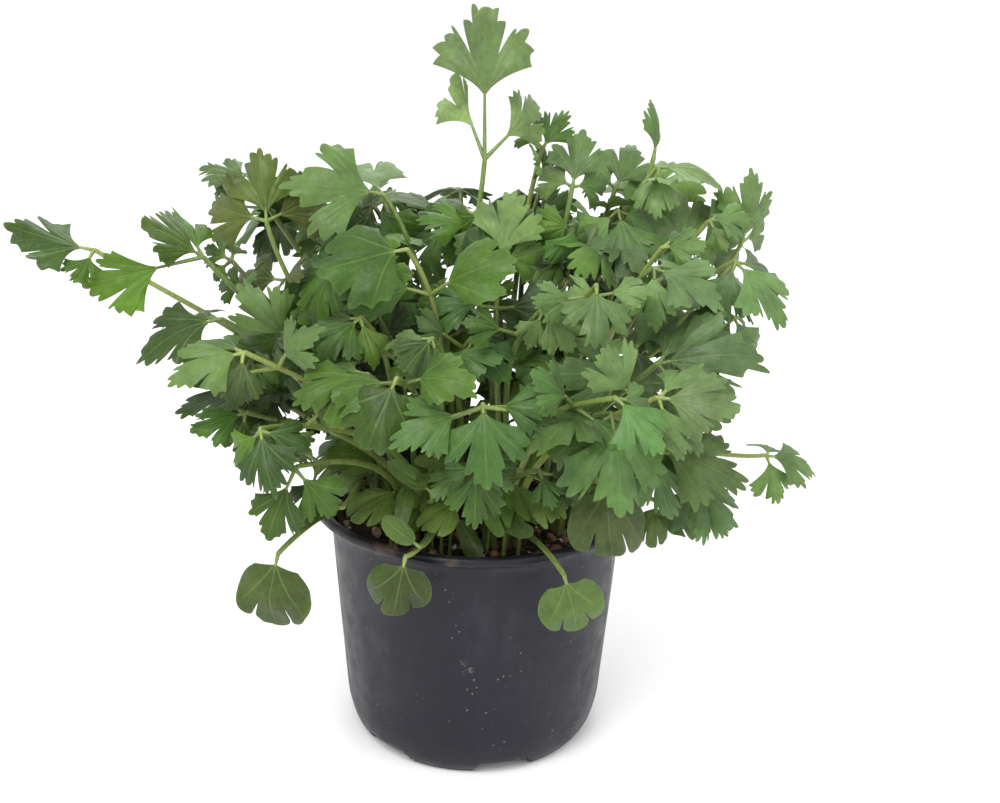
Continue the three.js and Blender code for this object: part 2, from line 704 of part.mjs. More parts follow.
// ---- pot and soil ---------------------------------------------------------------------------------------
// The wall's outside radius at a height, straight between shoulder and neck.
function wallRadius(height) {
  const share = (height - SHOULDER_HEIGHT) / (NECK_HEIGHT - SHOULDER_HEIGHT);
  return mix(SHOULDER_RADIUS, NECK_RADIUS, share);
}

function pot() {
  const profile = [
    [0, 0],
    [FOOT_RADIUS - 2, 0],
    [FOOT_RADIUS, 0.6],
    [FOOT_RADIUS + 2.6, 4],
    [SHOULDER_RADIUS, SHOULDER_HEIGHT],
    [NECK_RADIUS, NECK_HEIGHT],
    [NECK_RADIUS + 1.4, 92.5],
    [NECK_RADIUS + 4.4, 95.6],
    [RIM_RADIUS - 0.3, 96.8],
    [RIM_RADIUS, 99],
    [RIM_RADIUS - 1, POT_HEIGHT],
    [RIM_RADIUS - 3.4, 99.6],
    [NECK_RADIUS + 1.6, 96.4],
    [NECK_RADIUS - 0.6, 92.6],
    [NECK_RADIUS - WALL, 88.4],
    [SHOULDER_RADIUS - WALL, SHOULDER_HEIGHT],
    [FOOT_RADIUS + 0.6, 4.6],
    [FOOT_RADIUS - 2.6, WALL],
    [0, WALL],
  ].map(([x, y]) => new THREE.Vector2(x, y));
  const turned = new THREE.LatheGeometry(profile, POT_SEGMENTS);
  turned.rotateX(Math.PI / 2);
  let body = solidOf(turned);
  for (let i = 0; i < NOTCHES; i++) {
    const cutter = new THREE.BoxGeometry(FOOT_RADIUS, NOTCH_WIDTH, 2 * NOTCH_HEIGHT);
    cutter.translate(NOTCH_START + FOOT_RADIUS / 2, 0, 0);
    cutter.rotateZ(radians(-90 + FOOT_TURN + (360 / NOTCHES) * (i + 0.5)));
    body = body.subtract(solidOf(cutter));
  }
  return body;
}

// Crumbs and hollows of the soil's face, as a height over SOIL_TOP.
function soilRelief(x, y) {
  const crumbs = Math.sin(0.31 * x + 1.3) * Math.cos(0.27 * y - 0.4) + 0.6 * Math.sin(0.63 * y + 0.5 * x);
  return SOIL_RELIEF * 0.6 * crumbs;
}

function soil(feet) {
  const layers = [
    [0, WALL + GAP],
    [FOOT_RADIUS - 3.4, WALL + GAP],
    [SHOULDER_RADIUS - WALL - 1.2, SHOULDER_HEIGHT],
    [wallRadius(SOIL_TOP - 5) - WALL - GAP - 0.3, SOIL_TOP - 5],
  ];
  const faceRadius = NECK_RADIUS - WALL - GAP - 0.3;
  const points = [new THREE.Vector3(0, 0, layers[0][1])];
  const rings = [];
  const addRing = (radius, heightAt) => {
    const start = points.length;
    for (let k = 0; k < SOIL_SPOKES; k++) {
      const turn = (2 * Math.PI * k) / SOIL_SPOKES;
      const x = radius * Math.cos(turn);
      const y = radius * Math.sin(turn);
      points.push(new THREE.Vector3(x, y, heightAt(x, y)));
    }
    rings.push(start);
  };
  layers.slice(1).forEach(([radius, height]) => addRing(radius, () => height));
  for (let ring = 0; ring < SOIL_RINGS; ring++) {
    const radius = faceRadius * (1 - ring / SOIL_RINGS);
    addRing(radius, (x, y) => SOIL_TOP + (ring === 0 ? -0.6 : soilRelief(x, y)));
  }
  const crown = points.length;
  points.push(new THREE.Vector3(0, 0, SOIL_TOP + soilRelief(0, 0)));
  const faces = [];
  for (let k = 0; k < SOIL_SPOKES; k++) {
    const next = (k + 1) % SOIL_SPOKES;
    faces.push([0, rings[0] + next, rings[0] + k]);
    for (let ring = 0; ring < rings.length - 1; ring++) {
      const low = rings[ring];
      const high = rings[ring + 1];
      faces.push([low + k, low + next, high + next], [low + k, high + next, high + k]);
    }
    const top = rings[rings.length - 1];
    faces.push([top + k, top + next, crown]);
  }
  let body = solidFrom(points, faces);
  for (const { at, radius } of feet) {
    const bottom = at.clone().setZ(SOIL_TOP - HOLE_DEPTH);
    const top = at.clone().setZ(SOIL_TOP + 4);
    const holeRadius = (radius + GAP) / Math.cos(Math.PI / HOLE_SIDES);
    body = body.subtract(tube([bottom, top], [holeRadius, holeRadius], HOLE_SIDES));
  }
  return body;
}

// ---- the plant ------------------------------------------------------------------------------------------
// One tier of a crown: a frond that leans out from the pot's axis.
function tierOf(crown, [reach, height, length, fall, turn]) {
  const lean = radians(crown.turn + turn);
  const outward = [Math.cos(lean), DEPTH_SHARE * Math.sin(lean)];
  const joint = [reach * outward[0], reach * outward[1], height];
  const tip = [joint[0] + length * outward[0], joint[1] + length * outward[1], height + length * fall];
  const face = [0.5 * outward[0], 0.7 * outward[1] - 0.35, 0.7];
  return { name: crown.name, foot: crown.foot, joint, tip, face, play: CROWN_PLAY, plain: true };
}

// One layer of a crown in the middle: a frond that leans towards the front.
function layerOf(crown, [height, ahead, step]) {
  const joint = [crown.aside + step, -ahead, height];
  const [out, forward, fall] = LAYER_LEAF;
  const tip = [joint[0] + Math.sign(crown.aside) * out, joint[1] + forward, height + fall];
  return { name: crown.name, foot: crown.foot, joint, tip, face: LAYER_FACE, play: CROWN_PLAY, plain: true };
}

const placed = [];
const feet = [];
const freeSites = lattice();

function clashes(solid) {
  const box = solid.boundingBox();
  return placed.some((other) => {
    const otherBox = other.boundingBox();
    const apart = [0, 1, 2].some((i) => box.min[i] > otherBox.max[i] || box.max[i] < otherBox.min[i]);
    return !apart && solid.intersect(other).volume() > 0;
  });
}

// The first draw whose body, made a little fatter, is clear of everything that stands already.
function plant(frond, index, own) {
  for (let draw = 0; draw < MOST_DRAWS; draw++) {
    const random = generator(SEED + index * 1009 + draw * 9176);
    const pose = poseOf(frond, random, draw);
    if (own.foot) {
      pose.foot = own.foot.clone();
    }
    const layout = layOut(frond, pose, index, own.shared);
    if (crossesItself(layout) || clashes(grow(layout, CLEAR_BLADE - BLADE, CLEAR_STEM))) continue;
    if (own.shared && !own.foot && clashes(bulb(pose.foot, CLEAR_STEM))) continue;
    if (!own.foot) {
      own.foot = pose.foot;
      freeSites.splice(freeSites.indexOf(pose.site), 1);
    }
    return grow(layout);
  }
  throw new Error(`no clear place for ${frond.name}`);
}

// A node's fronds grow from one foot, where a bulb joins them. Its own fronds may touch each other.
function growNode(fronds, start) {
  const own = { foot: null, shared: fronds.length > 1 };
  const bodies = fronds.map((frond, i) => plant(frond, start + i, own));
  if (own.shared) {
    bodies.push(bulb(own.foot, 0));
  }
  const body = bodies.reduce((all, next) => all.add(next));
  placed.push(body);
  feet.push({ at: own.foot, radius: own.shared ? BULB.radius : STEM_RADIUS.foot });
  return body;
}

function bulb(foot, extra) {
  const top = foot.clone().setZ(SOIL_TOP + BULB.height);
  const bottom = foot.clone().setZ(SOIL_TOP - HOLE_DEPTH + GAP);
  return tube([bottom, top], [BULB.radius + extra, BULB.radius + extra], BULB.sides);
}

// ---- finish ---------------------------------------------------------------------------------------------
const finish = (color, roughness) => new THREE.MeshStandardMaterial({ color, roughness, metalness: 0 });
const POT_PLASTIC = finish(0x3a3b42, 0.55);
const POTTING_SOIL = finish(0x2a211b, 0.95);
const LEAF_GREEN = finish(0x4c7a38, 0.6);
const YOUNG_GREEN = finish(0x6b9440, 0.6);

const parsley = new THREE.Group();

function add(name, solid, material) {
  const mesh = new THREE.Mesh(geometryOf(solid), material);
  mesh.name = name;
  parsley.add(mesh);
}

const potSolid = pot();
add("pot", potSolid, POT_PLASTIC);
placed.push(potSolid);
const crowns = [
  ...MIDDLE_CROWNS.map((crown) => LAYERS.slice(crown.lowest).map((layer) => layerOf(crown, layer))),
  ...ROUND_CROWNS.map((crown) => TIERS.filter((_, i) => i !== crown.skip).map((tier) => tierOf(crown, tier))),
];
const nodes = [
  ...YOUNG.map((frond) => ({ name: frond.name, fronds: [frond], material: YOUNG_GREEN })),
  ...Object.entries(Object.groupBy(FRONDS, ({ name, node }) => node ?? name)).map(([name, fronds]) => ({
    name,
    fronds,
    material: LEAF_GREEN,
  })),
  ...crowns.map((fronds) => ({ name: fronds[0].name, fronds, material: LEAF_GREEN })),
];
let count = 0;
for (const { name, fronds, material } of nodes) {
  add(name, growNode(fronds, count), material);
  count += fronds.length;
}
add("soil", soil(feet), POTTING_SOIL);

export default parsley;
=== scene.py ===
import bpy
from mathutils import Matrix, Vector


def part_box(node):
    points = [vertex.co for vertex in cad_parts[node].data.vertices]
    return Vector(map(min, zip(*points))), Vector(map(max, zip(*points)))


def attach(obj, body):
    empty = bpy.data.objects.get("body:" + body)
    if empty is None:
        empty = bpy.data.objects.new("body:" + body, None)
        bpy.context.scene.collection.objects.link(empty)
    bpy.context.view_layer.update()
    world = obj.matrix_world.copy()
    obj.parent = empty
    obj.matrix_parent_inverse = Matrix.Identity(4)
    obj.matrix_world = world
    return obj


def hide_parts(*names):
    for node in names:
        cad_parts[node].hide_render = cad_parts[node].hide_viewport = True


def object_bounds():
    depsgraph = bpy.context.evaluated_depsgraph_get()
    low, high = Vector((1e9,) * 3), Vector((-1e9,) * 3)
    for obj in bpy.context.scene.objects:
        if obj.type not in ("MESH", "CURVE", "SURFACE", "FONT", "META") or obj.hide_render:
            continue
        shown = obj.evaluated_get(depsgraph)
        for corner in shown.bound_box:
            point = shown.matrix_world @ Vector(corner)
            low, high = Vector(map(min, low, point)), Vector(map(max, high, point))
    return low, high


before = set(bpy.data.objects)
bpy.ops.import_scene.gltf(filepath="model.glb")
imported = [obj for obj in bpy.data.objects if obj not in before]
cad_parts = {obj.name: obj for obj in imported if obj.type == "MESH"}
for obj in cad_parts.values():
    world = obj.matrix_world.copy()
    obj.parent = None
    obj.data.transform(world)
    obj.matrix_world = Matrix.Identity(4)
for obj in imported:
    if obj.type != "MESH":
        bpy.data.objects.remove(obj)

"""A pot of flat-leaf parsley: living fronds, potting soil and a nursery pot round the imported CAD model.

Lengths are millimetres until a mesh is made, which turns them into metres.
"""

import math

import bpy
import numpy as np
from mathutils import Matrix, Vector

cad_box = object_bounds()

MM = 0.001
RANDOM_SEED = 4107

# ---- camera of the photograph ----------------------------------------------------------------------------
CAMERA_PLACE = (8.5, -500.0, 309.0)
CAMERA_DOWN = 19.0  # degrees below the horizon
CAMERA_ROLL = 1.3  # degrees
LENS = 49.03
SENSOR = 36

# ---- the plant's rule, as the CAD source states it -------------------------------------------------------
SOIL_TOP = 92
HOLE_DEPTH = 8
GAP = 0.35
BLADE = 0.85
STEM_RADIUS_FOOT = 1.35
STEM_RADIUS_JOINT = 0.95
STEM_HALF = 0.75
STALK_WIDTH = 1.5
BULB_SPREAD = 1.5
STEM_RISE = 2.0
STEM_LEAVE = 0.42
STEM_ARRIVE = 0.3
STEM_ARRIVE_TURN = 0.55
LOW_STEM_RISE = 0.9
RACHIS = 0.16
SIDE_TURN = 66  # degrees, as all turns and drops of this table
SIDE_SHARE = 0.8
SIDE_DROP = 22
SIDE_ROLL = 14
LAST_BEND = 28
SIDE_BEND = 34
INNER = 0.85
INNER_CLEAR = 14
OUTLINE_SPREAD = 47
TOOTH_TURN = 1.2
TOOTH_REACH = 0.06
SAG = 0.22
WAVE = 0.035
MOST_DRAWS = 900
LOOSEST = 30
SEED = 20761
SEED_STEPS = (1009, 9176)  # by which the seed grows for each frond and each draw
JOINT_PLAY = (0.5, 0.5, 0.4)
TIP_PLAY = (0.6, 0.6, 0.5)
FACE_PLAY = (0.03, 0.03, 0.03)
BOW_PLAY = (0.7, 0.7)
CROWN_PLAY = 2.2
SIDE_STALK = 0.1  # a side leaflet's stalk as a share of the leaf's reach
LEAST_STALK = 2
HAND_SEED = 0.37
TURN_WAVE = (3.7, 1.3)
REACH_WAVE = (7.3, 2.1)
SAME_PLACE = 0.02  # how near a corner of the CAD has to be to a worked-out point to count as that point
SAME_SHARE = 0.4  # of the outline's points that has to be found

# Half outlines of the CAD's leaflets, as (degrees, share of length); they tell which draw a frond grew from.
OUTLINES = {
    "large": ((0, 1), (9, 0.93), (14.5, 0.57), (21, 0.85), (26, 0.73), (32, 0.82), (38, 0.68), (47, 0.68)),
    "medium": ((0, 1), (10, 0.92), (15, 0.58), (22, 0.84), (28, 0.72), (35, 0.8), (47, 0.64)),
    "small": ((0, 1), (10, 0.92), (15.5, 0.62), (28, 0.85), (46, 0.65)),
    "oval": ((0, 1), (9, 0.93), (16, 0.76), (23, 0.5)),
}
LARGE_LEAFLET = 26
MEDIUM_LEAFLET = 21


def placed(name, joint, tip, face, **more):
    """A frond by the places of its joint and tip, the way its blade faces, and what else differs from the
    rule: rachis and wide are shares, and left and right hold a side leaflet's turn, stalk and length."""
    return dict(more, name=name, joint=joint, tip=tip, face=face)


FRONDS = [
    placed("frond_top", (1, -8, 231), (0, -4, 286), (0, -1, 0.2), rachis=0.43, left=(22, 13, 25),
           right=(46, 12, 22)),
    placed("frond_far_left", (-135, -30, 200), (-164, -36, 207), (0, -0.4, 1), rachis=0.18,
           left=(75, 3, 13), right=None, wide=1.2),
    placed("frond_left_second", (-94, -42, 201), (-113, -52, 217), (-0.1, -0.6, 0.8), left=(40, 16, 25),
           right=(60, 4, 20)),
    placed("frond_centre", (3, -88, 166), (5, -104, 147), (0, -0.9, 0.4), rachis=0.05, left=(86, 9, 17),
           right=(80, 12, 17), wide=1.2),
    placed("frond_big_right", (61, -60, 172), (89, -74, 184), (0.1, -0.8, 0.6), left=(62, 3, 31),
           right=(62, 3, 27), wide=1.05),
    placed("frond_left_f", (-59, -78, 139), (-69, -88, 117), (-0.2, -1, 0.3), rachis=0.3,
           left=(62, 4, 18), right=(75, 4, 17)),
    placed("frond_round_front", (-25, -84, 173), (-33, -98, 156), (0, -0.9, 0.4), whole=True, wide=1.25),
    placed("frond_upper_left", (-34, -20, 220), (-66, -30, 229), (-0.2, -0.7, 0.7), left=None,
           right=(68, 4, 27), wide=1.15),
    placed("frond_round", (-24, -48, 207), (-49, -62, 205), (-0.1, -0.8, 0.6), whole=True, wide=1.3),
    placed("frond_left_a", (-88, -48, 181), (-115, -60, 177), (-0.2, -0.6, 0.8), left=None,
           right=(50, 4, 24), wide=1.15),
    placed("frond_left_b", (-76, -70, 176), (-96, -84, 175), (-0.2, -0.8, 0.6)),
    placed("frond_left_e", (-69, -84, 154), (-65, -98, 138), (-0.1, -0.9, 0.4)),
    placed("frond_left_d", (-79, -60, 152), (-94, -70, 148), (-0.3, -0.8, 0.5)),
    placed("frond_left_c", (-78, -34, 152), (-106, -44, 151), (0, -0.3, 1)),
    placed("frond_right_low", (62, -62, 142), (90, -76, 140), (0.1, -0.8, 0.6)),
    placed("frond_right_pale", (60, -84, 166), (88, -98, 171), (0.1, -0.7, 0.7), wide=0.95),
    placed("frond_low_centre", (41, -74, 162), (45, -96, 140), (0, -0.8, 0.6), left=(64, 3, 24),
           right=(64, 3, 22), wide=1.1),
    placed("frond_right_x", (90, -28, 201), (110, -40, 185), (0.2, -0.7, 0.7), left=(60, 4, 24),
           right=(60, 3, 20)),
    placed("frond_right_w", (97, 0, 201), (103, -3, 226), (0.4, -0.8, 0.3), left=None, right=(64, 3, 19)),
    placed("frond_right_top", (64, 0, 229), (87, -8, 230), (0.2, -0.4, 0.9), left=None,
           right=(85, 3, 16), node="fronds_right_top"),
    placed("frond_right_spike", (63, 4, 232), (66, 8, 252), (0.8, -0.6, 0), left=None, right=None,
           node="fronds_right_top"),
    placed("frond_olive", (-77, -15, 208), (-80, -10, 234), (0.1, -0.95, 0.2), left=(70, 5, 24),
           right=(68, 5, 24), wide=1.1),
    placed("frond_pale_left", (33, -4, 221), (37, 4, 242), (0, -0.9, 0.5), wide=1.1, node="fronds_pale"),
    placed("frond_pale_right", (50, 12, 218), (59, 22, 236), (0.1, -0.9, 0.5), wide=1.1,
           node="fronds_pale"),
    placed("frond_centre_up", (7, -35, 200), (13, -28, 225), (0.1, -0.9, 0.4)),
    placed("frond_face", (39, -68, 201), (39, -84, 187), (0.05, -0.9, 0.5), whole=True, wide=1.25),
    placed("frond_right_y", (59, -50, 203), (81, -62, 198), (0.1, -0.7, 0.7)),
    placed("frond_arched", (23, -56, 191), (39, -74, 181), (0, -0.7, 0.7)),
    placed("frond_bright", (-36, -76, 172), (-54, -92, 171), (-0.1, -0.8, 0.6), left=None,
           right=(60, 3, 19), wide=1.15, node="fronds_mid_left"),
    placed("frond_front", (1, -80, 142), (1, -92, 125), (0, -0.9, 0.4), left=(74, 2, 15),
           right=(74, 2, 15), node="fronds_front"),
    placed("frond_front_right", (24, -66, 134), (23, -80, 125), (0, -0.8, 0.6), left=(72, 3, 16),
           right=None, node="fronds_front"),
    placed("frond_right_v", (82, -14, 212), (96, -20, 217), (0.2, -0.6, 0.8), node="fronds_right_back"),
    placed("frond_right_u", (64, -30, 204), (81, -42, 209), (0.2, -0.7, 0.7), right=None,
           node="fronds_right_back"),
    placed("frond_curly", (47, -98, 173), (57, -108, 161), (0.3, -0.8, 0.5), left=(64, 2, 15),
           right=None),
    placed("frond_thin_up", (22, 15, 232), (31, 18, 247), (0.1, -0.8, 0.6), left=(75, 3, 13), right=None,
           node="fronds_small_top"),
    placed("frond_upper_left_back", (-86, 4, 219), (-104, 8, 228), (-0.2, -0.4, 0.9)),
    placed("frond_inner_left", (-49, -36, 199), (-60, -50, 182), (-0.5, -0.7, 0.5), left=None,
           node="fronds_left_inner"),
    placed("frond_left_g", (-66, -50, 177), (-80, -64, 189), (-0.1, -0.8, 0.6), right=None,
           node="fronds_left_inner"),
    placed("frond_left_h", (-64, -45, 150), (-78, -55, 158), (-0.1, -0.8, 0.6), left=None,
           node="fronds_left_inner"),
    placed("frond_mid_left", (-39, -56, 185), (-52, -72, 178), (-0.1, -0.7, 0.7), node="fronds_mid_left"),
    placed("frond_mid_centre", (-19, -62, 184), (-23, -78, 172), (0, -0.8, 0.6),
           node="fronds_mid_centre"),
    placed("frond_mid_inner", (-2, -44, 175), (10, -57, 166), (0, -0.8, 0.6), node="fronds_mid_centre"),
    placed("frond_mid_right", (33, -56, 170), (22, -70, 161), (0, -0.8, 0.6)),
    placed("frond_small_top", (-3, 4, 209), (-19, 0, 215), (0, -0.6, 0.8), left=None, right=(64, 3, 12),
           node="fronds_small_top"),
    placed("frond_right_small", (95, -6, 175), (106, -12, 158), (0.4, -0.7, 0.6)),
    placed("frond_right_reach", (114, 5, 115), (138, 7, 112), (0.2, -0.5, 0.8)),
    placed("frond_right_under", (77, -46, 124), (93, -60, 114), (0.3, -0.7, 0.6)),
]

YOUNG = [
    placed("young_rim_left", (-23, -72, 104), (-27, -76, 84), (0, -1, 0.25), arrive=(-8, -10, 1),
           whole=True, wide=1.25),
    placed("young_rim_round", (-18, -70, 107), (-30, -75, 118), (0, -1, 0.3), arrive=(-5, -10, 2),
           oval=True, wide=1.3),
    placed("young_seed_leaf", (-7, -44, 108), (3, -57, 99), (0.3, -0.7, 0.8), arrive=(4, -2, 4),
           oval=True, wide=1.1),
    placed("young_oval_left", (-15, -54, 121), (-27, -62, 134), (0.3, -0.9, 0.3), arrive=(-2, -2, 12),
           oval=True),
    placed("young_hang_left", (-66, -78, 107), (-71, -85, 84), (-0.2, -1, 0.3), arrive=(-10, -14, -8),
           whole=True, wide=1.2),
    placed("young_olive_left", (-46, -58, 116), (-59, -70, 119), (0, -0.3, 1), arrive=(-2, -12, 2),
           oval=True, wide=1.2),
    placed("young_hang_right", (32, -73, 99), (38, -78, 80), (0.1, -1, 0.2), arrive=(5, -9, -5),
           whole=True, wide=1.3),
    placed("young_rim_right", (46, -50, 125), (49, -66, 107), (0.1, -0.9, 0.5), arrive=(4, -6, 5),
           whole=True, wide=1.3),
    placed("young_thin_right", (67, -34, 111), (80, -44, 107), (0.2, -0.6, 0.8), arrive=(10, -8, -2)),
]

ROUND_CROWNS = [
    dict(name="crown_right", turn=8),
    dict(name="crown_back_right", turn=50),
    dict(name="crown_back", turn=92),
    dict(name="crown_back_left", turn=134),
    dict(name="crown_left", turn=168),
    dict(name="crown_side_left", turn=201, skip=1),
]
TIERS = ((82, 206, 36, -0.35, -12), (44, 212, 34, -0.05, 10), (78, 158, 36, -0.4, 12))
MIDDLE_CROWNS = [
    dict(name="crown_middle_left", aside=-46, lowest=1),
    dict(name="crown_centre_left", aside=-17, lowest=2),
    dict(name="crown_centre_right", aside=14, lowest=2),
    dict(name="crown_middle_right", aside=44, lowest=2),
]
LAYERS = ((146, 38, -7), (170, 28, 8), (194, 16, -7), (214, 4, 6), (204, -16, -6))
LAYER_LEAF = (7, -22, -22)
LAYER_FACE = (0, -0.75, 0.65)

DEPTH_SHARE = 0.9

# ---- finer shapes ----------------------------------------------------------------------------------------
# Half a leaflet's outline from its tip down, in shares of its length: (aside, ahead) of tooth, notch, tooth
# and so on, each with the (aside, ahead) that the vein to it bends by. The sixth point is the lobes' cut.
GROWN_EDGE = (
    (0, 1, 0, 0.52), (0.055, 0.865, 0.01, 0.5), (0.12, 0.935, 0.02, 0.5), (0.125, 0.735, 0.02, 0.45),
    (0.215, 0.8, 0.04, 0.45), (0.14, 0.43, 0.05, 0.3), (0.31, 0.72, 0.11, 0.36), (0.285, 0.61, 0.13, 0.33),
    (0.42, 0.69, 0.16, 0.32), (0.375, 0.54, 0.16, 0.29), (0.51, 0.54, 0.18, 0.28), (0.43, 0.435, 0.18, 0.25),
    (0.5, 0.37, 0.19, 0.21))
ROUND_EDGE = (
    (0, 1, 0, 0.5), (0.06, 0.965, 0.01, 0.48), (0.14, 0.975, 0.02, 0.47), (0.17, 0.9, 0.03, 0.44),
    (0.24, 0.88, 0.04, 0.42), (0.225, 0.72, 0.07, 0.36), (0.36, 0.8, 0.13, 0.36), (0.37, 0.71, 0.15, 0.34),
    (0.45, 0.63, 0.17, 0.3), (0.43, 0.54, 0.17, 0.26), (0.46, 0.45, 0.19, 0.22), (0.41, 0.34, 0.19, 0.2),
    (0.37, 0.22, 0.2, 0.12))
YOUNG_EDGE = (
    (0, 0.97, 0, 0.5), (0.06, 0.975, 0.01, 0.48), (0.13, 0.96, 0.02, 0.46), (0.19, 0.9, 0.03, 0.42),
    (0.2, 0.82, 0.03, 0.4), (0.17, 0.62, 0.05, 0.33), (0.26, 0.84, 0.09, 0.36), (0.36, 0.82, 0.13, 0.36),
    (0.45, 0.72, 0.16, 0.34), (0.5, 0.56, 0.19, 0.28), (0.49, 0.4, 0.2, 0.22), (0.43, 0.24, 0.2, 0.14),
    (0.3, 0.08, 0.16, 0.05))
TEETH = 6  # on either side of the tip
CUT = 5  # point of the outline between the middle lobe and the side lobe
SIDE_VEIN = 8  # point of the outline that the side lobe's main vein runs to
CUT_AT = math.radians(20)  # turn from the midrib to the cut, and to the side lobe's rib
RIB_AT = math.radians(36)
# Kinds of leaflet: half outline, how much wider and longer it is than the CAD's, which had to keep clear of
# each other, how uneven its points are, and the least and most depth of its cut and of its teeth.
KINDS = {
    "grown": dict(half=GROWN_EDGE, wider=1.13, longer=1.04, uneven=0.06, cut=(0.95, 1.25), teeth=(0.44, 0.8)),
    "round": dict(half=ROUND_EDGE, wider=1.1, longer=1.12, uneven=0.06, cut=(0.95, 1.25), teeth=(0.25, 0.5)),
    "young": dict(half=YOUNG_EDGE, wider=0.9, longer=1.24, uneven=0.015, cut=(0.9, 1.25), teeth=(0.8, 1.3)),
}
# Least and most of what differs from leaflet to leaflet: how blunt its teeth are, then lifts in shares of its
# length, and the phase of its waves. A third value counts the draws.
RANGES = dict(blunt=(0.5, 0.72), fold=(-0.12, 0.14), twist=(-0.25, 0.25), tilt=(-0.3, 0.14, 2),
              nod=(-0.2, 0.08), arch=(0.0, 0.1), curl=(0.01, 0.12), billow=(0.004, 0.018),
              swell=(0.035, 0.085), phase=(0, 2 * math.pi, 2))
NOTCH_CALM = 0.6  # how far notches move, as a share of how far teeth do
POINT_TURN = 1.2  # degrees by which a point of the outline is off at most
OVAL_HALF_WIDTH = 0.21  # of an oval leaf, as a share of its length
OVAL_SPREAD = 78  # degrees
OVAL_BENDS = (0.3, 0.55)
CUT_BLUNT = 2.2  # how much rounder the cut is than a notch
LOBE_FROM, LOBE_OVER = 0.3, 1.4  # where a side lobe's tilt sets in, and over how much; 1 is the cut's turn
SWELLS = (7, 6)  # waves across and along a blade
BILLOW_REACH = 0.85  # of half a wave, from the stalk to the outline
CURL_FROM, CURL_OVER, CURL_MOST = 0.45, 0.5, 1.2
CURL_WAVES = 5
CURL_LOW = 0.4  # by which the border hangs on the whole
TOOTH_STEPS = 4
ROWS = 9
ROW_POWER = 0.85  # spreads the rows towards the outline
COARSER = (3, 8)  # steps and rows of the smaller leaflets lower on a petiole
SMALLEST = (3, 7)  # and of a seedling's
SKIN = 0.42  # thickness of a real blade
THIN_ENDS = (24, 10, 12)  # how late a blade thins towards its sides, its outline and its neck
NECK = 0.6  # half the width of a blade where it leaves its stalk
NECK_FADE = 6  # power by which that width ends
VEINS = ((0, 0.9, 0.42), (SIDE_VEIN, 0.88, 0.3), (-SIDE_VEIN, 0.88, 0.3))  # place, reach and thickness
VEIN_POINTS, VEIN_SIDES = 10, 6
VEIN_START = 0.02
VEIN_END = 0.08  # radius at a vein's tip
VEIN_BELOW = (0.5, 0.1)  # how far a vein lies under the blade's middle: in radii, and in millimetres more
FULL_VEINS = 24  # length from which a leaflet's veins have their full thickness


def unit(v):
    """The vector divided by its own length."""
    return v / np.linalg.norm(v)


def number_stream(seed):
    """Mulberry32, the CAD's seeded generator: mixes a 32-bit state and gives numbers from 0 to 1."""
    mask = 0xFFFFFFFF
    state = seed & mask
    while True:
        state = (state + 0x6D2B79F5) & mask
        bits = (state ^ state >> 15) * (state | 1) & mask
        bits ^= (bits + ((bits ^ bits >> 7) * (bits | 61) & mask)) & mask
        yield ((bits ^ bits >> 14) & mask) / 2**32


def pose_of(frond, index, draw):
    """Joint, tip, face and bow of one draw: the placed values and a random shift that grows with the draw."""
    stream = number_stream(SEED + index * SEED_STEPS[0] + draw * SEED_STEPS[1])
    loose = min(draw, LOOSEST) * frond.get("play", 1)

    def shift(*amounts):
        return np.array([(next(stream) - 0.5) * amount * loose for amount in amounts])

    joint = np.array(frond["joint"], float) + shift(*JOINT_PLAY)
    tip = np.array(frond["tip"], float) + shift(*TIP_PLAY)
    face = np.array(frond["face"], float) + shift(*FACE_PLAY)
    bow = np.append(shift(*BOW_PLAY), 0.0)
    return joint, tip, face, bow


def lay_out(frond, pose, seed):
    """The frond's leaflets as dicts of base, along, normal, length and bend, with the last one first."""
    joint, tip, face, _ = pose
    reach = np.linalg.norm(tip - joint)
    along = unit(tip - joint)
    normal = unit(face - face.dot(along) * along)
    side = np.cross(normal, along)
    rachis = max(reach * frond.get("rachis", RACHIS), 2 * STALK_WIDTH)
    length = reach - rachis
    wide = frond.get("wide", 1)
    common = dict(oval=frond.get("oval", False), plain=frond.get("plain", False), wide=wide)
    leaflets = [dict(common, start=joint, base=joint + along * rachis, along=along, normal=normal,
                     length=length, bend=LAST_BEND, seed=seed, inner=(1, 1))]
    for hand, key in ((1, "left"), (-1, "right")):
        leaf = frond.get(key, (SIDE_TURN, max(SIDE_STALK * reach, LEAST_STALK), SIDE_SHARE * length))
        if leaf is None or frond.get("whole") or frond.get("oval"):
            continue
        degrees, stalk, side_length = leaf
        turn = math.radians(degrees)
        heading = along * math.cos(turn) + side * hand * math.sin(turn)
        heading = unit(heading - normal * math.tan(math.radians(SIDE_DROP)))
        tilted = normal + side * hand * math.tan(math.radians(SIDE_ROLL))
        tilted = unit(tilted - heading.dot(tilted) * heading)
        start = joint + along * STALK_WIDTH / 2
        narrowed = min(INNER, (degrees - INNER_CLEAR) / (OUTLINE_SPREAD * wide))
        leaflets.append(dict(common, start=start, base=start + heading * (stalk + STEM_HALF), along=heading,
                             normal=tilted, length=side_length, bend=SIDE_BEND,
                             seed=seed + hand * HAND_SEED,
                             inner=(1, narrowed) if hand > 0 else (narrowed, 1)))
    return leaflets


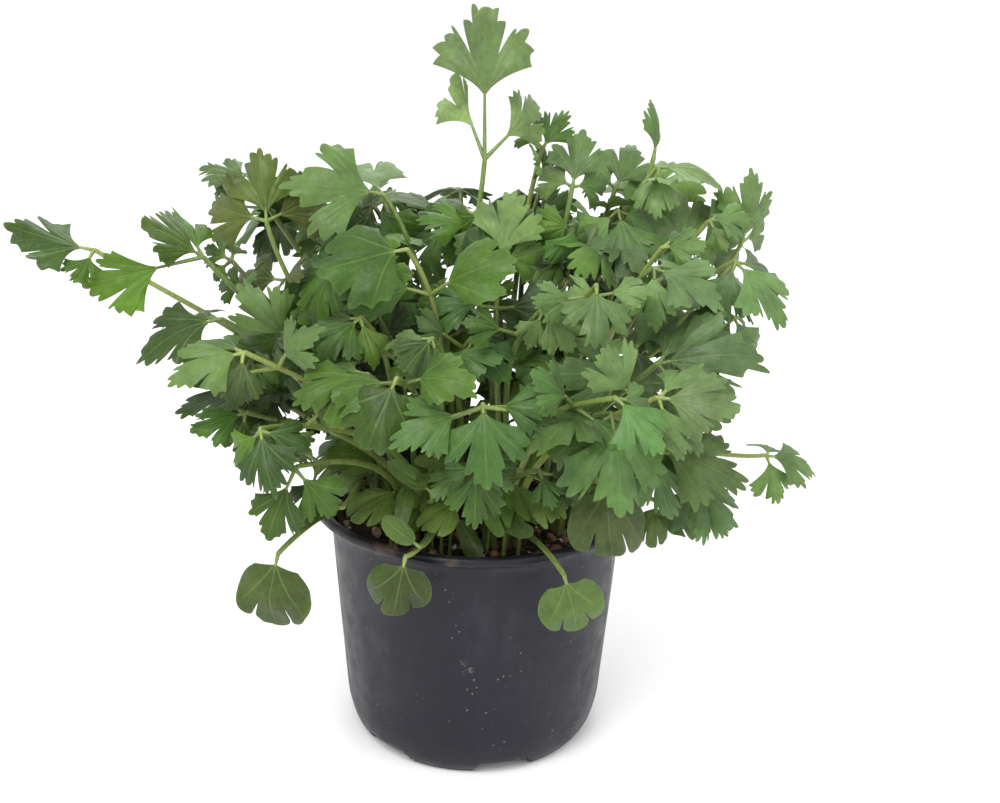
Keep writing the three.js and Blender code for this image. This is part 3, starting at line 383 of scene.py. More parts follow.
def blade_points(leaf, turn, reach):
    """Middle surface of a blade. Polar turn and reach about the base give ahead and aside. Ahead bends down
    along an arc, the sides sag by the square of aside, and the lobes wave by the sine of four times the turn.
    """
    side = np.cross(leaf["normal"], leaf["along"])
    length = leaf["length"]
    ahead = reach * length * np.cos(turn)
    aside = reach * length * np.sin(turn)
    curve = math.radians(leaf["bend"]) / length
    sag = SAG * aside**2 / length
    wave = WAVE * length * np.sin(4 * turn + leaf["seed"] * 5) * reach**2
    fall = (1 - np.cos(curve * ahead)) / curve + sag + wave
    return (leaf["base"] + np.multiply.outer(np.sin(curve * ahead) / curve, leaf["along"])
            + np.multiply.outer(aside, side) - np.multiply.outer(fall, leaf["normal"]))


def coarse_outline(leaf):
    """Turn and reach of the CAD leaflet's outline points, each a little off the rule by sines of its seed."""
    size = "large" if leaf["length"] >= LARGE_LEAFLET else "medium"
    if leaf["plain"] or leaf["length"] < MEDIUM_LEAFLET:
        size = "small"
    half = OUTLINES["oval" if leaf["oval"] else size]
    points = [*half[:0:-1], *((-degrees, reach) for degrees, reach in half)]
    turn = np.array([p[0] for p in points], float)
    reach = np.array([p[1] for p in points], float)
    count = np.arange(len(points))
    turn *= leaf["wide"] * np.where(turn > 0, leaf["inner"][0], leaf["inner"][1])
    turn += TOOTH_TURN * np.sin(leaf["seed"] * TURN_WAVE[0] + count * TURN_WAVE[1])
    reach *= 1 + TOOTH_REACH * np.sin(leaf["seed"] * REACH_WAVE[0] + count * REACH_WAVE[1])
    return np.radians(turn), reach


def corners_of(node):
    """The CAD node's own corners in millimetres."""
    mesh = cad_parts[node].data
    flat = np.empty(len(mesh.vertices) * 3, np.float32)
    mesh.vertices.foreach_get("co", flat)
    return flat.reshape(-1, 3).astype(float) / MM


def grown_as(frond, index, corners):
    """The pose and leaflets of the draw that the CAD accepted: the first whose last leaflet's outline is
    found among the node's corners."""
    for draw in range(MOST_DRAWS):
        pose = pose_of(frond, index, draw)
        leaflets = lay_out(frond, pose, index)
        last = leaflets[0]
        points = blade_points(last, *coarse_outline(last)) + last["normal"] * BLADE / 2
        gaps = np.abs(corners[None] - points[:, None]).max(2).min(1)
        if (gaps < SAME_PLACE).mean() > SAME_SHARE:
            return pose, leaflets
    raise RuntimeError(f"{frond['name']} isn't in its CAD node")


def stem_path(frond, pose, foot, shared, steps=26):
    """A petiole's middle line: a cubic Bezier from the joint, which it meets along the leaf, down to the
    straight stretch over its hole, and on to the hole's bottom."""
    joint, tip, _, bow = pose
    aim = joint - foot
    climb = np.linalg.norm(aim)
    rise = foot + (0, 0, 0 if shared else STEM_RISE)
    if shared:
        flat = np.array([aim[0], aim[1], 0.0])
        rise = rise + flat * min(1, BULB_SPREAD / np.linalg.norm(flat))
    first = rise + bow
    if "arrive" in frond:
        arrive = np.array(frond["arrive"], float)
        first[2] += LOW_STEM_RISE * max(joint[2] - SOIL_TOP, 10)
    else:
        arrive = unit(unit(aim) + unit(tip - joint) * STEM_ARRIVE_TURN) * STEM_ARRIVE * climb
        first[2] += STEM_LEAVE * climb
    t = np.linspace(0, 1, steps)[:, None]
    curve = ((1 - t) ** 3 * joint + 3 * (1 - t) ** 2 * t * (joint - arrive) + 3 * (1 - t) * t**2 * first
             + t**3 * rise)
    low = rise.copy()
    low[2] = SOIL_TOP - HOLE_DEPTH + GAP
    return np.vstack([curve, low])


# ---- surfaces --------------------------------------------------------------------------------------------
ODD_WAY = (0.31, 0.9, 0.2)  # a direction that no path starts in
CAP = 0.4  # how far a tube's end stands out, in shares of its radius


def put(name, data):
    """An object with its data, in the scene."""
    made = bpy.data.objects.new(name, data)
    bpy.context.scene.collection.objects.link(made)
    return made


class Mesh:
    """Collects grids of points as one mesh: places, faces of four corners, or of three and a -1, and a value
    per point for each named attribute."""

    def __init__(self):
        self.points, self.faces, self.values, self.count = [], [], {}, 0

    def add(self, points, faces, tint=None, **values):
        """Adds points and faces, in one tint where it is given."""
        if tint is not None:
            values["tint"] = np.repeat(np.array(tint, float)[None], len(points), 0)
        self.points.append(points)
        self.faces.append(np.where(faces < 0, -1, faces + self.count))
        for name, value in values.items():
            self.values.setdefault(name, []).append(value)
        self.count += len(points)

    def build(self, name, material, body="root", sharp=60):
        """Makes the object, rides it on the CAD body and stores the attributes."""
        points = np.vstack(self.points) * MM
        faces = np.vstack(self.faces)
        mesh = bpy.data.meshes.new(name)
        mesh.vertices.add(len(points))
        mesh.vertices.foreach_set("co", points.astype(np.float32).ravel())
        real = faces[:, 3] >= 0
        sizes = np.where(real, 4, 3)
        corners = faces.ravel()
        corners = corners[corners >= 0]
        mesh.loops.add(len(corners))
        mesh.loops.foreach_set("vertex_index", corners.astype(np.int32))
        mesh.polygons.add(len(faces))
        starts = np.concatenate([[0], np.cumsum(sizes)[:-1]])
        mesh.polygons.foreach_set("loop_start", starts.astype(np.int32))
        mesh.polygons.foreach_set("loop_total", sizes.astype(np.int32))
        mesh.polygons.foreach_set("use_smooth", np.ones(len(faces), bool))
        mesh.update(calc_edges=True)
        for key, parts in self.values.items():
            data = np.concatenate(parts).astype(np.float32)
            if key == "chart":
                uv = mesh.uv_layers.new(name="chart")
                uv.data.foreach_set("uv", data[corners].ravel())
            elif data.ndim == 2:
                mesh.attributes.new(key, "FLOAT_COLOR", "POINT").data.foreach_set(
                    "color", np.hstack([data, np.ones((len(data), 1), np.float32)]).ravel())
            else:
                mesh.attributes.new(key, "FLOAT", "POINT").data.foreach_set("value", data)
        mesh.validate()
        mesh.set_sharp_from_angle(angle=math.radians(sharp))
        mesh.materials.append(material)
        obj = put(name, mesh)
        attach(obj, body)
        return obj


def grid_faces(rows, columns, wrap=False):
    """Quads of a grid whose points run row by row; wrap joins the last column to the first."""
    index = np.arange(rows * columns).reshape(rows, columns)
    right = np.roll(index, -1, 1) if wrap else index[:, 1:]
    here = index if wrap else index[:, :-1]
    return np.stack([here[:-1], right[:-1], right[1:], here[1:]], -1).reshape(-1, 4)


def closed_faces(rows, columns):
    """Quads round a grid, and a fan at either end to one of two more points, which follow the grid's own."""
    count = rows * columns
    ring = np.arange(columns)
    following = np.roll(ring, -1)
    none = np.full(columns, -1)
    return np.vstack([grid_faces(rows, columns, wrap=True),
                      np.stack([following, ring, np.full(columns, count), none], 1),
                      np.stack([count - columns + ring, count - columns + following,
                                np.full(columns, count + 1), none], 1)])


def tube(path, radii, sides, ribs=0.0):
    """A closed tube along a path. Sections are turned by carrying one side vector along the path; a section's
    radius is the given one times one plus ribs times the cosine of five times the turn. The ends close in a
    fan drawn to a share of the radius past the end."""
    path = np.asarray(path, float)
    heading = np.gradient(path, axis=0)
    heading /= np.linalg.norm(heading, axis=1)[:, None]
    flat = np.cross(heading[0], ODD_WAY)
    sides_of = []
    for direction in heading:
        flat = unit(flat - flat.dot(direction) * direction)
        sides_of.append(flat)
    across = np.array(sides_of)
    up = np.cross(heading, across)
    turn = np.arange(sides) * 2 * math.pi / sides
    radius = np.asarray(radii, float)[:, None] * (1 + ribs * np.cos(5 * turn))[None]
    rings = (path[:, None] + across[:, None] * (radius * np.cos(turn))[..., None]
             + up[:, None] * (radius * np.sin(turn))[..., None])
    first = path[0] - heading[0] * radii[0] * CAP
    last = path[-1] + heading[-1] * radii[-1] * CAP
    points = np.vstack([rings.reshape(-1, 3), first, last])
    share = np.concatenate([np.repeat(np.linspace(0, 1, len(path)), sides), [0.0, 1.0]])
    return points, closed_faces(len(path), sides), share


def edge_of(leaf, look, random):
    """The leaflet's own outline as turn, reach, and the aside and ahead of its veins' bends, from the right
    end round the tip to the left: the half outlines with every point moved a little at random. An oval leaf's
    is an ellipse through its base."""
    if leaf["oval"]:
        turn = np.radians(np.linspace(OVAL_SPREAD, -OVAL_SPREAD, 4 * TEETH + 1))
        ratio = 0.5 / (OVAL_HALF_WIDTH * leaf["wide"])
        reach = np.cos(turn) / (np.cos(turn) ** 2 + (ratio * np.sin(turn)) ** 2)
        return turn, reach, OVAL_BENDS[0] * reach * np.sin(turn), OVAL_BENDS[1] * reach * np.cos(turn)
    half = np.array(look["half"])
    count = np.arange(len(half))
    notch = count % 2 == 1
    plain = np.arctan2(half[:, 0], half[:, 1])
    reach = np.hypot(half[:, 0], half[:, 1])
    between = (np.roll(reach, 1) + np.roll(reach, -1)) / 2
    depth = np.where(count == CUT, look["cut"], look["teeth"])
    reach = np.where(notch, between - (between - reach) * depth, reach)
    sides = []
    for inner in leaf["inner"]:
        off = look["uneven"] * random.uniform(-1, 1, len(half)) * np.where(notch, NOTCH_CALM, 1)
        turn = plain + np.radians(random.uniform(-POINT_TURN, POINT_TURN, len(half))) * (plain > 0)
        wide = leaf["wide"] * inner
        sides.append(np.stack([np.maximum.accumulate(turn * wide * look["wider"]),
                               reach * (1 + off) * look["longer"], half[:, 2] * wide, half[:, 3]]))
    right, left = sides
    return np.hstack([right[:, :0:-1], left * np.array((-1, 1, -1, 1))[:, None]])


def blade_at(leaf, look, place, share):
    """Points of a living blade. place counts the outline's points from the tip, left below zero; share runs
    from the stalk to the outline along the vein to that place, which is a quadratic Bezier. From tooth to
    notch the reach falls as a power of a cosine; a young leaf's reach is a Catmull-Rom curve through its
    points. The surface billows between the lobes' ribs and swells as a product of sines, each lobe tilts and
    arches by its own amounts, and the border curls as a sine of the turn."""
    turn, reach, aside, ahead = look["edge"]
    points = np.arange(len(turn), dtype=float)
    index = points.mean() - place
    low = np.clip(np.floor(index).astype(int), 0, len(turn) - 2)
    part = index - low
    outer = low % 2 == 0
    blunt = look["blunt"] * np.where(np.abs(np.abs(place) - CUT) < 1, CUT_BLUNT, 1)
    rise = np.where(outer, 1 - np.cos(part * math.pi / 2) ** blunt, np.sin(part * math.pi / 2) ** blunt)
    if leaf["oval"]:
        rise = part
    far = reach[low] + (reach[low + 1] - reach[low]) * rise
    angle = turn[low] + (turn[low + 1] - turn[low]) * part
    if look["young"] and not leaf["oval"]:
        before, after = reach[np.maximum(low - 1, 0)], reach[np.minimum(low + 2, len(reach) - 1)]
        here, following = reach[low], reach[low + 1]
        cubic = part * (3 * here - before - 3 * following + after)
        square = part * (2 * before - 5 * here + 4 * following - after + cubic)
        far = here + part / 2 * (following - before + square)
    through = 2 * share * (1 - share)
    x = far * np.sin(angle) * share**2 + np.interp(index, points, aside) * through
    y = far * np.cos(angle) * share**2 + np.interp(index, points, ahead) * through
    middle = blade_points(leaf, np.arctan2(x, y), np.hypot(x, y))
    swing = np.arctan2(x, y)
    out = np.hypot(x, y)
    away = np.abs(swing)
    side = np.clip((away - LOBE_FROM * CUT_AT) / (LOBE_OVER * CUT_AT), 0, 1)
    side = side**2 * (3 - 2 * side)
    hand = (place < 0).astype(int)
    own = np.clip(np.where(away < CUT_AT, away / CUT_AT, np.abs(away - RIB_AT) / (RIB_AT - CUT_AT)), 0, 1)
    phase = look["phase"]
    swell = np.sin(SWELLS[0] * x + phase[0]) * np.sin(SWELLS[1] * y + phase[1]) * out
    billow = np.sin(own * math.pi) ** 2 * np.sin(np.minimum(out, 1) * math.pi * BILLOW_REACH)
    curl = np.clip((out - CURL_FROM) / CURL_OVER, 0, CURL_MOST) ** 2
    lift = (look["fold"] * np.abs(x) + look["twist"] * x * y + look["swell"] * swell
            + out**2 * (side * look["tilt"][hand] + (1 - side) * look["nod"]
                        - look["arch"] * (1 - np.cos(own * math.pi)) / 2)
            + look["billow"] * billow
            + look["curl"] * curl * (np.sin(CURL_WAVES * swing + phase[0]) - CURL_LOW))
    sides = np.cross(leaf["normal"], leaf["along"])
    neck = place / points.mean() * NECK * (1 - share) ** NECK_FADE
    return middle + np.multiply.outer(lift * leaf["length"], leaf["normal"]) + np.multiply.outer(neck, sides)


def leaflet_skin(leaf, look, steps=TOOTH_STEPS, rows=ROWS):
    """A blade as two skins that meet at their edge, on a grid of places round the outline and shares from the
    stalk; between them its thickness falls by high powers towards the edge. gap holds the way from one vein
    to the next, in millimetres."""
    columns = 4 * TEETH * steps + 1
    place = np.linspace(2 * TEETH, -2 * TEETH, columns)
    share = np.linspace(0, 1, rows) ** ROW_POWER
    places, shares = np.meshgrid(place, share)
    middle = blade_at(leaf, look, places.ravel(), shares.ravel())
    grid = middle.reshape(rows, columns, 3)
    gap = np.linalg.norm(np.gradient(grid, axis=1), axis=2) * steps * 2
    sides, outline, neck = THIN_ENDS
    inner = (1 - np.abs(place / (2 * TEETH)) ** sides)[None] * (1 - share**outline)[:, None]
    inner = inner * np.minimum(share * neck, 1)[:, None]
    offset = np.multiply.outer((SKIN / 2 * np.sqrt(np.clip(inner, 0, 1))).ravel(), leaf["normal"])
    count = len(middle)
    index = np.arange(count).reshape(rows, columns)
    border = np.zeros((rows, columns), bool)
    border[0] = border[-1] = True
    border[:, 0] = border[:, -1] = True
    inside = ~border.ravel()
    below = np.cumsum(inside) + count - 1
    lower = np.where(border.ravel(), index.ravel(), below)
    quads = grid_faces(rows, columns)
    points = np.vstack([middle + offset, (middle - offset)[inside]])
    faces = np.vstack([quads, lower[quads][:, ::-1]])
    chart = np.stack([0.5 + places.ravel() / (4 * TEETH), shares.ravel()], 1)
    under = np.concatenate([np.zeros(count), np.ones(inside.sum())])
    return points, faces, dict(chart=np.vstack([chart, chart[inside]]), under=under, tint=look["tint"],
                               gap=np.concatenate([gap.ravel(), gap.ravel()[inside]]))


def vein_tubes(leaf, look):
    """Raised veins under a blade: thin tubes along the midrib and the side lobes' main veins."""
    made = []
    for place, far, thick in VEINS:
        if leaf["oval"] and place:
            continue
        share = np.linspace(VEIN_START, far, VEIN_POINTS)
        radii = np.linspace(thick, VEIN_END, VEIN_POINTS) * min(1.0, leaf["length"] / FULL_VEINS)
        path = blade_at(leaf, look, np.full(VEIN_POINTS, float(place)), share)
        below = radii * VEIN_BELOW[0] + VEIN_BELOW[1]
        path = path - np.multiply.outer(below, leaf["normal"])
        made.append(tube(path, radii, VEIN_SIDES))
    return made


# ---- materials -------------------------------------------------------------------------------------------
def feed(tree, node, **inputs):
    """Sets each named input of a node to a value or links it to a socket; _0 names one by its number."""
    for key, value in inputs.items():
        socket = node.inputs[int(key[1:])] if key[0] == "_" else node.inputs[key.replace("_", " ")]
        if isinstance(value, bpy.types.NodeSocket):
            tree.links.new(value, socket)
        else:
            socket.default_value = value


def add_node(tree, kind, settings=None, **inputs):
    """A node with its settings and its inputs."""
    made = tree.nodes.new(kind)
    for key, value in (settings or {}).items():
        setattr(made, key, value)
    feed(tree, made, **inputs)
    return made


def maths(tree, operation, first, second=0.0):
    """The output of a Math node."""
    return add_node(tree, "ShaderNodeMath", dict(operation=operation), _0=first, _1=second).outputs[0]


def times(tree, first, second):
    """The product of two values."""
    return maths(tree, "MULTIPLY", first, second)


def plus(tree, first, second):
    """The sum of two values."""
    return maths(tree, "ADD", first, second)


def stored(tree, name, output="Fac"):
    """An attribute that the mesh holds for each point."""
    return add_node(tree, "ShaderNodeAttribute", dict(attribute_name=name)).outputs[output]


def bumped(tree, height, strength, distance):
    """The normal that a height gives; the distance is in metres."""
    return add_node(tree, "ShaderNodeBump", Height=height, Strength=strength, Distance=distance).outputs[0]


def ranged(tree, value, low, high, to_low=0.0, to_high=1.0):
    """A value brought smoothly from one range to another."""
    return add_node(tree, "ShaderNodeMapRange", dict(interpolation_type="SMOOTHSTEP"), Value=value,
                    From_Min=low, From_Max=high, To_Min=to_low, To_Max=to_high).outputs[0]


def blend_colour(tree, share, first, second):
    """A colour blended from two by a share."""
    return add_node(tree, "ShaderNodeMix", dict(data_type="RGBA"), _0=share, _6=first, _7=second).outputs[2]


def noise(tree, where, scale, detail=3.0, roughness=0.55):
    """The value of a noise texture."""
    return add_node(tree, "ShaderNodeTexNoise", Vector=where, Scale=scale, Detail=detail,
                    Roughness=roughness).outputs[0]


def new_group(name, sockets_in, sockets_out):
    """An empty shader node group with its interface, and the tree's group input and output nodes."""
    tree = bpy.data.node_groups.new(name, "ShaderNodeTree")
    for way, sockets in (("INPUT", sockets_in), ("OUTPUT", sockets_out)):
        for label, kind in sockets.items():
            tree.interface.new_socket(name=label, in_out=way, socket_type="NodeSocket" + kind)
    return tree, tree.nodes.new("NodeGroupInput"), tree.nodes.new("NodeGroupOutput")


# Ranges of masks, as (from, to, value there, value at the end) of a smooth step.
FINE_VEIN = (0.08, 0.32, 1.0, 0.0)  # by the distance from the vein, in millimetres
FINE_FADE = (0.3, 0.6, 0.0, 0.35)  # by the share of the way from the stalk to the outline
RIB = (0.12, 0.5, 1.0, 0.0)
RIB_FADE = (0.55, 1.0, 1.0, 0.25)
BONE = (0.02, 0.12, 1.0, 0.0)
BONE_FADE = (0.3, 0.5, 0.0, 0.2)
BONES, BONE_SLANT = 8.0, 3.0
HEART = (0.03, 0.2, 0.7, 0.0)
NET_CELLS = 620.0
NET = (0.0, 0.16, 1.0, 0.0)
BORDER = (0.93, 1.0, 0.0, 1.0)
MIDDLE_VALUES = (0.3, 0.7)  # where most values of a noise lie
SMALL_GRAIN = 5.3  # how much finer the second noise of a mottle is than the first
GRAIN_SHARES = (1.3, 0.7)

# Colours of materials are (red, green, blue, 1), scales are counts per metre, and depths are in metres.
LEAF_TONE = dict(Scale=75.0, Amount=1.05)
LINE_SHARES = dict(Net=0.05, Vein=0.34, Edge=0.12)
UNDER_GREEN, UNDER_SHARE, UNDER_ROUGH = (0.18, 0.29, 0.09, 1), 0.42, 0.15
LEAF_RELIEF = dict(Vein=-0.5, Net=-0.16)
LEAF_GRAIN, LEAF_GRAIN_RELIEF = 330.0, 3.2
LEAF_DEPTH = 0.00021
STEM_TONE = dict(Scale=120.0, Amount=0.35)
# the streaks' green, and the painted shade's green at a petiole's foot
STREAK_GREEN, FOOT_SHADE_GREEN = (0.29, 0.37, 0.10, 1), (0.11, 0.13, 0.05, 1)
STREAK_STRETCH = (1.0, 1.0, 0.12)
STEM_DEPTH = 0.0003
PEAT_TONE = dict(Scale=180.0, Amount=1.3)
FLECK_BROWN = (0.16, 0.09, 0.045, 1)
PEAT_DEPTH = 0.0012
BIT_TONE = dict(Scale=700.0, Amount=0.6)
BIT_DEPTH = 0.0004
POT_TONE = dict(Scale=28.0, Amount=0.5)
POT_CHARCOAL = (0.0084, 0.0086, 0.0142)
SMUDGE_GREY, SPECK_GREY = (0.080, 0.080, 0.092, 1), (0.42, 0.40, 0.37, 1)
SCUFF_GREY, DIRT_BROWN = (0.17, 0.15, 0.14, 1), (0.14, 0.09, 0.055, 1)
UNDER_RIM = (0.092, 0.0985)  # heights between which dirt gathers, in metres
POT_DEPTH = 0.0004


def vein_group():
    """Veins of a leaflet in its chart: how near a point is to a vein that runs from the base to a tooth,
    broader for the veins to the lobes' tips, with a herringbone of side veins and a net of fine cells."""
    tree, inside, outside = new_group("leaf_veins", dict(Chart="Vector", Gap="Float", Place="Vector"),
                                      dict(Vein="Float", Net="Float", Edge="Float"))
    gap = inside.outputs["Gap"]
    split = add_node(tree, "ShaderNodeSeparateXYZ", Vector=inside.outputs["Chart"])
    along = split.outputs[1]
    order = times(tree, maths(tree, "SUBTRACT", split.outputs[0], 0.5), 2.0 * TEETH)
    order = maths(tree, "ABSOLUTE", order)
    nearest = maths(tree, "ABSOLUTE", maths(tree, "SUBTRACT", order, maths(tree, "ROUND", order)))
    fine = ranged(tree, times(tree, nearest, gap), *FINE_VEIN)
    fine = times(tree, fine, ranged(tree, along, *FINE_FADE))
    lobe = maths(tree, "ABSOLUTE", maths(tree, "SUBTRACT", order, SIDE_VEIN / 2))
    rib = ranged(tree, times(tree, maths(tree, "MINIMUM", order, lobe), gap), *RIB)
    rib = times(tree, rib, ranged(tree, along, *RIB_FADE))
    slant = maths(tree, "SUBTRACT", times(tree, along, BONES), times(tree, nearest, BONE_SLANT))
    bone = maths(tree, "ABSOLUTE", maths(tree, "SUBTRACT", maths(tree, "FRACT", slant), 0.5))
    bone = times(tree, ranged(tree, bone, *BONE), ranged(tree, along, *BONE_FADE))
    vein = maths(tree, "MAXIMUM", maths(tree, "MAXIMUM", fine, rib), bone)
    vein = maths(tree, "MAXIMUM", vein, ranged(tree, along, *HEART))
    cells = add_node(tree, "ShaderNodeTexVoronoi", dict(feature="DISTANCE_TO_EDGE"),
                     Vector=inside.outputs["Place"], Scale=NET_CELLS)
    feed(tree, outside, Vein=vein, Net=ranged(tree, cells.outputs["Distance"], *NET),
         Edge=ranged(tree, along, *BORDER))
    return tree


def mottle_group():
    """Cloudy change of tone: two noises of different grain, around one."""
    tree, inside, outside = new_group("mottle", dict(Place="Vector", Scale="Float", Amount="Float"),
                                      dict(Tone="Float"))
    place, scale = inside.outputs["Place"], inside.outputs["Scale"]
    broad = times(tree, noise(tree, place, scale, 3), GRAIN_SHARES[0])
    small = times(tree, noise(tree, place, times(tree, scale, SMALL_GRAIN), 4), GRAIN_SHARES[1])
    away = maths(tree, "SUBTRACT", plus(tree, broad, small), 1.0)
    feed(tree, outside, Tone=plus(tree, times(tree, away, inside.outputs["Amount"]), 1.0))
    return tree


def put_group(tree, group, **inputs):
    """A group placed in a material with its own values."""
    return add_node(tree, "ShaderNodeGroup", dict(node_tree=group), **inputs)


def new_material(name):
    """A material with its tree and its Principled shader, and places in the object."""
    material = bpy.data.materials.new(name)
    material.use_nodes = True
    tree = material.node_tree
    shader = next(n for n in tree.nodes if n.type == "BSDF_PRINCIPLED")
    place = add_node(tree, "ShaderNodeTexCoord").outputs["Object"]
    return material, tree, shader, place


def scaled_colour(tree, colour, tone):
    """A colour with each channel multiplied by a tone."""
    return add_node(tree, "ShaderNodeVectorMath", dict(operation="SCALE"), _0=colour, Scale=tone).outputs[0]


def stretched(tree, place, scale, rotation=(0.0, 0.0, 0.0)):
    """Places turned and stretched, for a noise that is drawn out in one direction."""
    return add_node(tree, "ShaderNodeMapping", Vector=place, Scale=scale, Rotation=rotation).outputs[0]


def leaf_material(name, veins, mottle, vein_colour, glow, glow_share):
    """Leaf tissue: the leaflet's tint, which holds painted light and shade, mottled, with pale veins, a
    greyer underside and light that comes through the blade."""
    material, tree, shader, place = new_material(name)
    chart = add_node(tree, "ShaderNodeUVMap", dict(uv_map="chart")).outputs[0]
    under = stored(tree, "under")
    lines = put_group(tree, veins, Chart=chart, Gap=stored(tree, "gap"), Place=place).outputs
    tone = put_group(tree, mottle, Place=place, **LEAF_TONE).outputs["Tone"]
    colour = scaled_colour(tree, stored(tree, "tint", "Color"), tone)
    for line, share in LINE_SHARES.items():
        colour = blend_colour(tree, times(tree, lines[line], share), colour, vein_colour)
    colour = blend_colour(tree, under, colour, blend_colour(tree, UNDER_SHARE, colour, UNDER_GREEN))
    rough = ranged(tree, noise(tree, place, 260.0), *MIDDLE_VALUES, 0.33, 0.5)
    height = times(tree, noise(tree, place, LEAF_GRAIN, 3), LEAF_GRAIN_RELIEF)
    for line, relief in LEAF_RELIEF.items():
        height = plus(tree, height, times(tree, lines[line], relief))
    normal = bumped(tree, height, 0.5, LEAF_DEPTH)
    feed(tree, shader, Base_Color=colour, Roughness=plus(tree, rough, times(tree, under, UNDER_ROUGH)),
         Specular_IOR_Level=0.36, Sheen_Weight=0.08, Sheen_Roughness=0.5, Normal=normal)
    lit = add_node(tree, "ShaderNodeVectorMath", dict(operation="MULTIPLY"), _0=colour, _1=glow).outputs[0]
    through = add_node(tree, "ShaderNodeBsdfTranslucent", Color=lit, Normal=normal)
    both = add_node(tree, "ShaderNodeMixShader", _0=glow_share, _1=shader.outputs[0], _2=through.outputs[0])
    output = next(n for n in tree.nodes if n.type == "OUTPUT_MATERIAL")
    feed(tree, output, Surface=both.outputs[0])
    return material


def stem_material(mottle):
    """Juicy petioles: pale green with long streaks, with painted shade darkening them towards the foot, and a
    soft gloss.
    """
    material, tree, shader, place = new_material("petiole_green")
    tone = put_group(tree, mottle, Place=place, **STEM_TONE).outputs["Tone"]
    streak = ranged(tree, noise(tree, stretched(tree, place, STREAK_STRETCH), 900.0, 2), 0.35, 0.7)
    colour = scaled_colour(tree, stored(tree, "tint", "Color"), tone)
    colour = blend_colour(tree, times(tree, streak, 0.3), colour, STREAK_GREEN)
    # painted shade: the petiole darkens towards its foot at the soil
    foot = ranged(tree, stored(tree, "share"), 0.8, 1.0, 0.0, 0.4)
    colour = blend_colour(tree, foot, colour, FOOT_SHADE_GREEN)
    feed(tree, shader, Base_Color=colour, Specular_IOR_Level=0.45,
         Roughness=ranged(tree, noise(tree, place, 300.0), *MIDDLE_VALUES, 0.34, 0.5),
         Subsurface_Weight=0.12, Subsurface_Radius=(0.6, 0.8, 0.2), Subsurface_Scale=0.002,
         Normal=bumped(tree, streak, 0.25, STEM_DEPTH))
    return material


def soil_material(mottle):
    """Peat: near-black brown crumbs with lighter fibres, matt, broken up at three grains."""
    material, tree, shader, place = new_material("peat")
    tone = put_group(tree, mottle, Place=place, **PEAT_TONE).outputs["Tone"]
    colour = scaled_colour(tree, stored(tree, "tint", "Color"), tone)
    fleck = ranged(tree, noise(tree, place, 1300.0, 2, 0.6), 0.62, 0.72, 0.0, 0.5)
    height = plus(tree, noise(tree, place, 420.0, 6, 0.7), times(tree, noise(tree, place, 1700.0, 3), 0.5))
    feed(tree, shader, Base_Color=blend_colour(tree, fleck, colour, FLECK_BROWN), Roughness=0.92,
         Specular_IOR_Level=0.25, Normal=bumped(tree, height, 0.9, PEAT_DEPTH))
    return material


def peat_bits(mottle):
    """Small bits on the soil: each in its own colour, dusty and matt."""
    material, tree, shader, place = new_material("grit_and_fibre")
    tone = put_group(tree, mottle, Place=place, **BIT_TONE).outputs["Tone"]
    feed(tree, shader, Base_Color=scaled_colour(tree, stored(tree, "tint", "Color"), tone), Roughness=0.85,
         Normal=bumped(tree, noise(tree, place, 1600.0, 3), 0.6, BIT_DEPTH))
    return material


def pot_material(mottle):
    """Moulded charcoal polypropylene: faint blue, a fine matt grain, pale smudges and specks of dried soil,
    and brown dirt that gathers under the rim."""
    material, tree, shader, place = new_material("charcoal_polypropylene")
    tone = put_group(tree, mottle, Place=place, **POT_TONE).outputs["Tone"]
    colour = scaled_colour(tree, POT_CHARCOAL, tone)
    drawn = stretched(tree, place, (1.0, 1.0, 0.35))
    smudge = ranged(tree, noise(tree, drawn, 42.0, 5, 0.62), 0.53, 0.78, 0.0, 0.26)
    colour = blend_colour(tree, smudge, colour, SMUDGE_GREY)
    cells = add_node(tree, "ShaderNodeTexVoronoi", Vector=place, Scale=330.0, Randomness=1.0)
    sparse = ranged(tree, noise(tree, place, 60.0, 2), 0.5, 0.62)
    speck = times(tree, ranged(tree, cells.outputs["Distance"], 0.06, 0.16, 1.0, 0.0), sparse)
    colour = blend_colour(tree, times(tree, speck, 0.3), colour, SPECK_GREY)
    scuff = times(tree, ranged(tree, noise(tree, place, 170.0, 6, 0.72), 0.6, 0.66, 0.0, 0.45),
                  ranged(tree, noise(tree, place, 34.0, 2), 0.54, 0.62))
    colour = blend_colour(tree, scuff, colour, SCUFF_GREY)
    up = add_node(tree, "ShaderNodeSeparateXYZ", Vector=place).outputs[2]
    dirt = times(tree, ranged(tree, up, *UNDER_RIM), ranged(tree, noise(tree, place, 75.0, 4), 0.5, 0.66))
    colour = blend_colour(tree, times(tree, dirt, 0.45), colour, DIRT_BROWN)
    rough = ranged(tree, noise(tree, place, 120.0, 4), *MIDDLE_VALUES, 0.34, 0.5)
    scratch = noise(tree, stretched(tree, place, (0.25, 0.25, 1.0), (0.3, 0.2, 0.0)), 700.0, 3)
    height = plus(tree, times(tree, noise(tree, place, 2600.0, 2), 0.5),
                  times(tree, ranged(tree, scratch, 0.66, 0.7), -0.35))
    height = plus(tree, height, times(tree, speck, 1.4))
    feed(tree, shader, Base_Color=colour, Roughness=plus(tree, rough, times(tree, smudge, 0.6)),
         Specular_IOR_Level=0.27, Normal=bumped(tree, height, 0.22, POT_DEPTH))
    return material
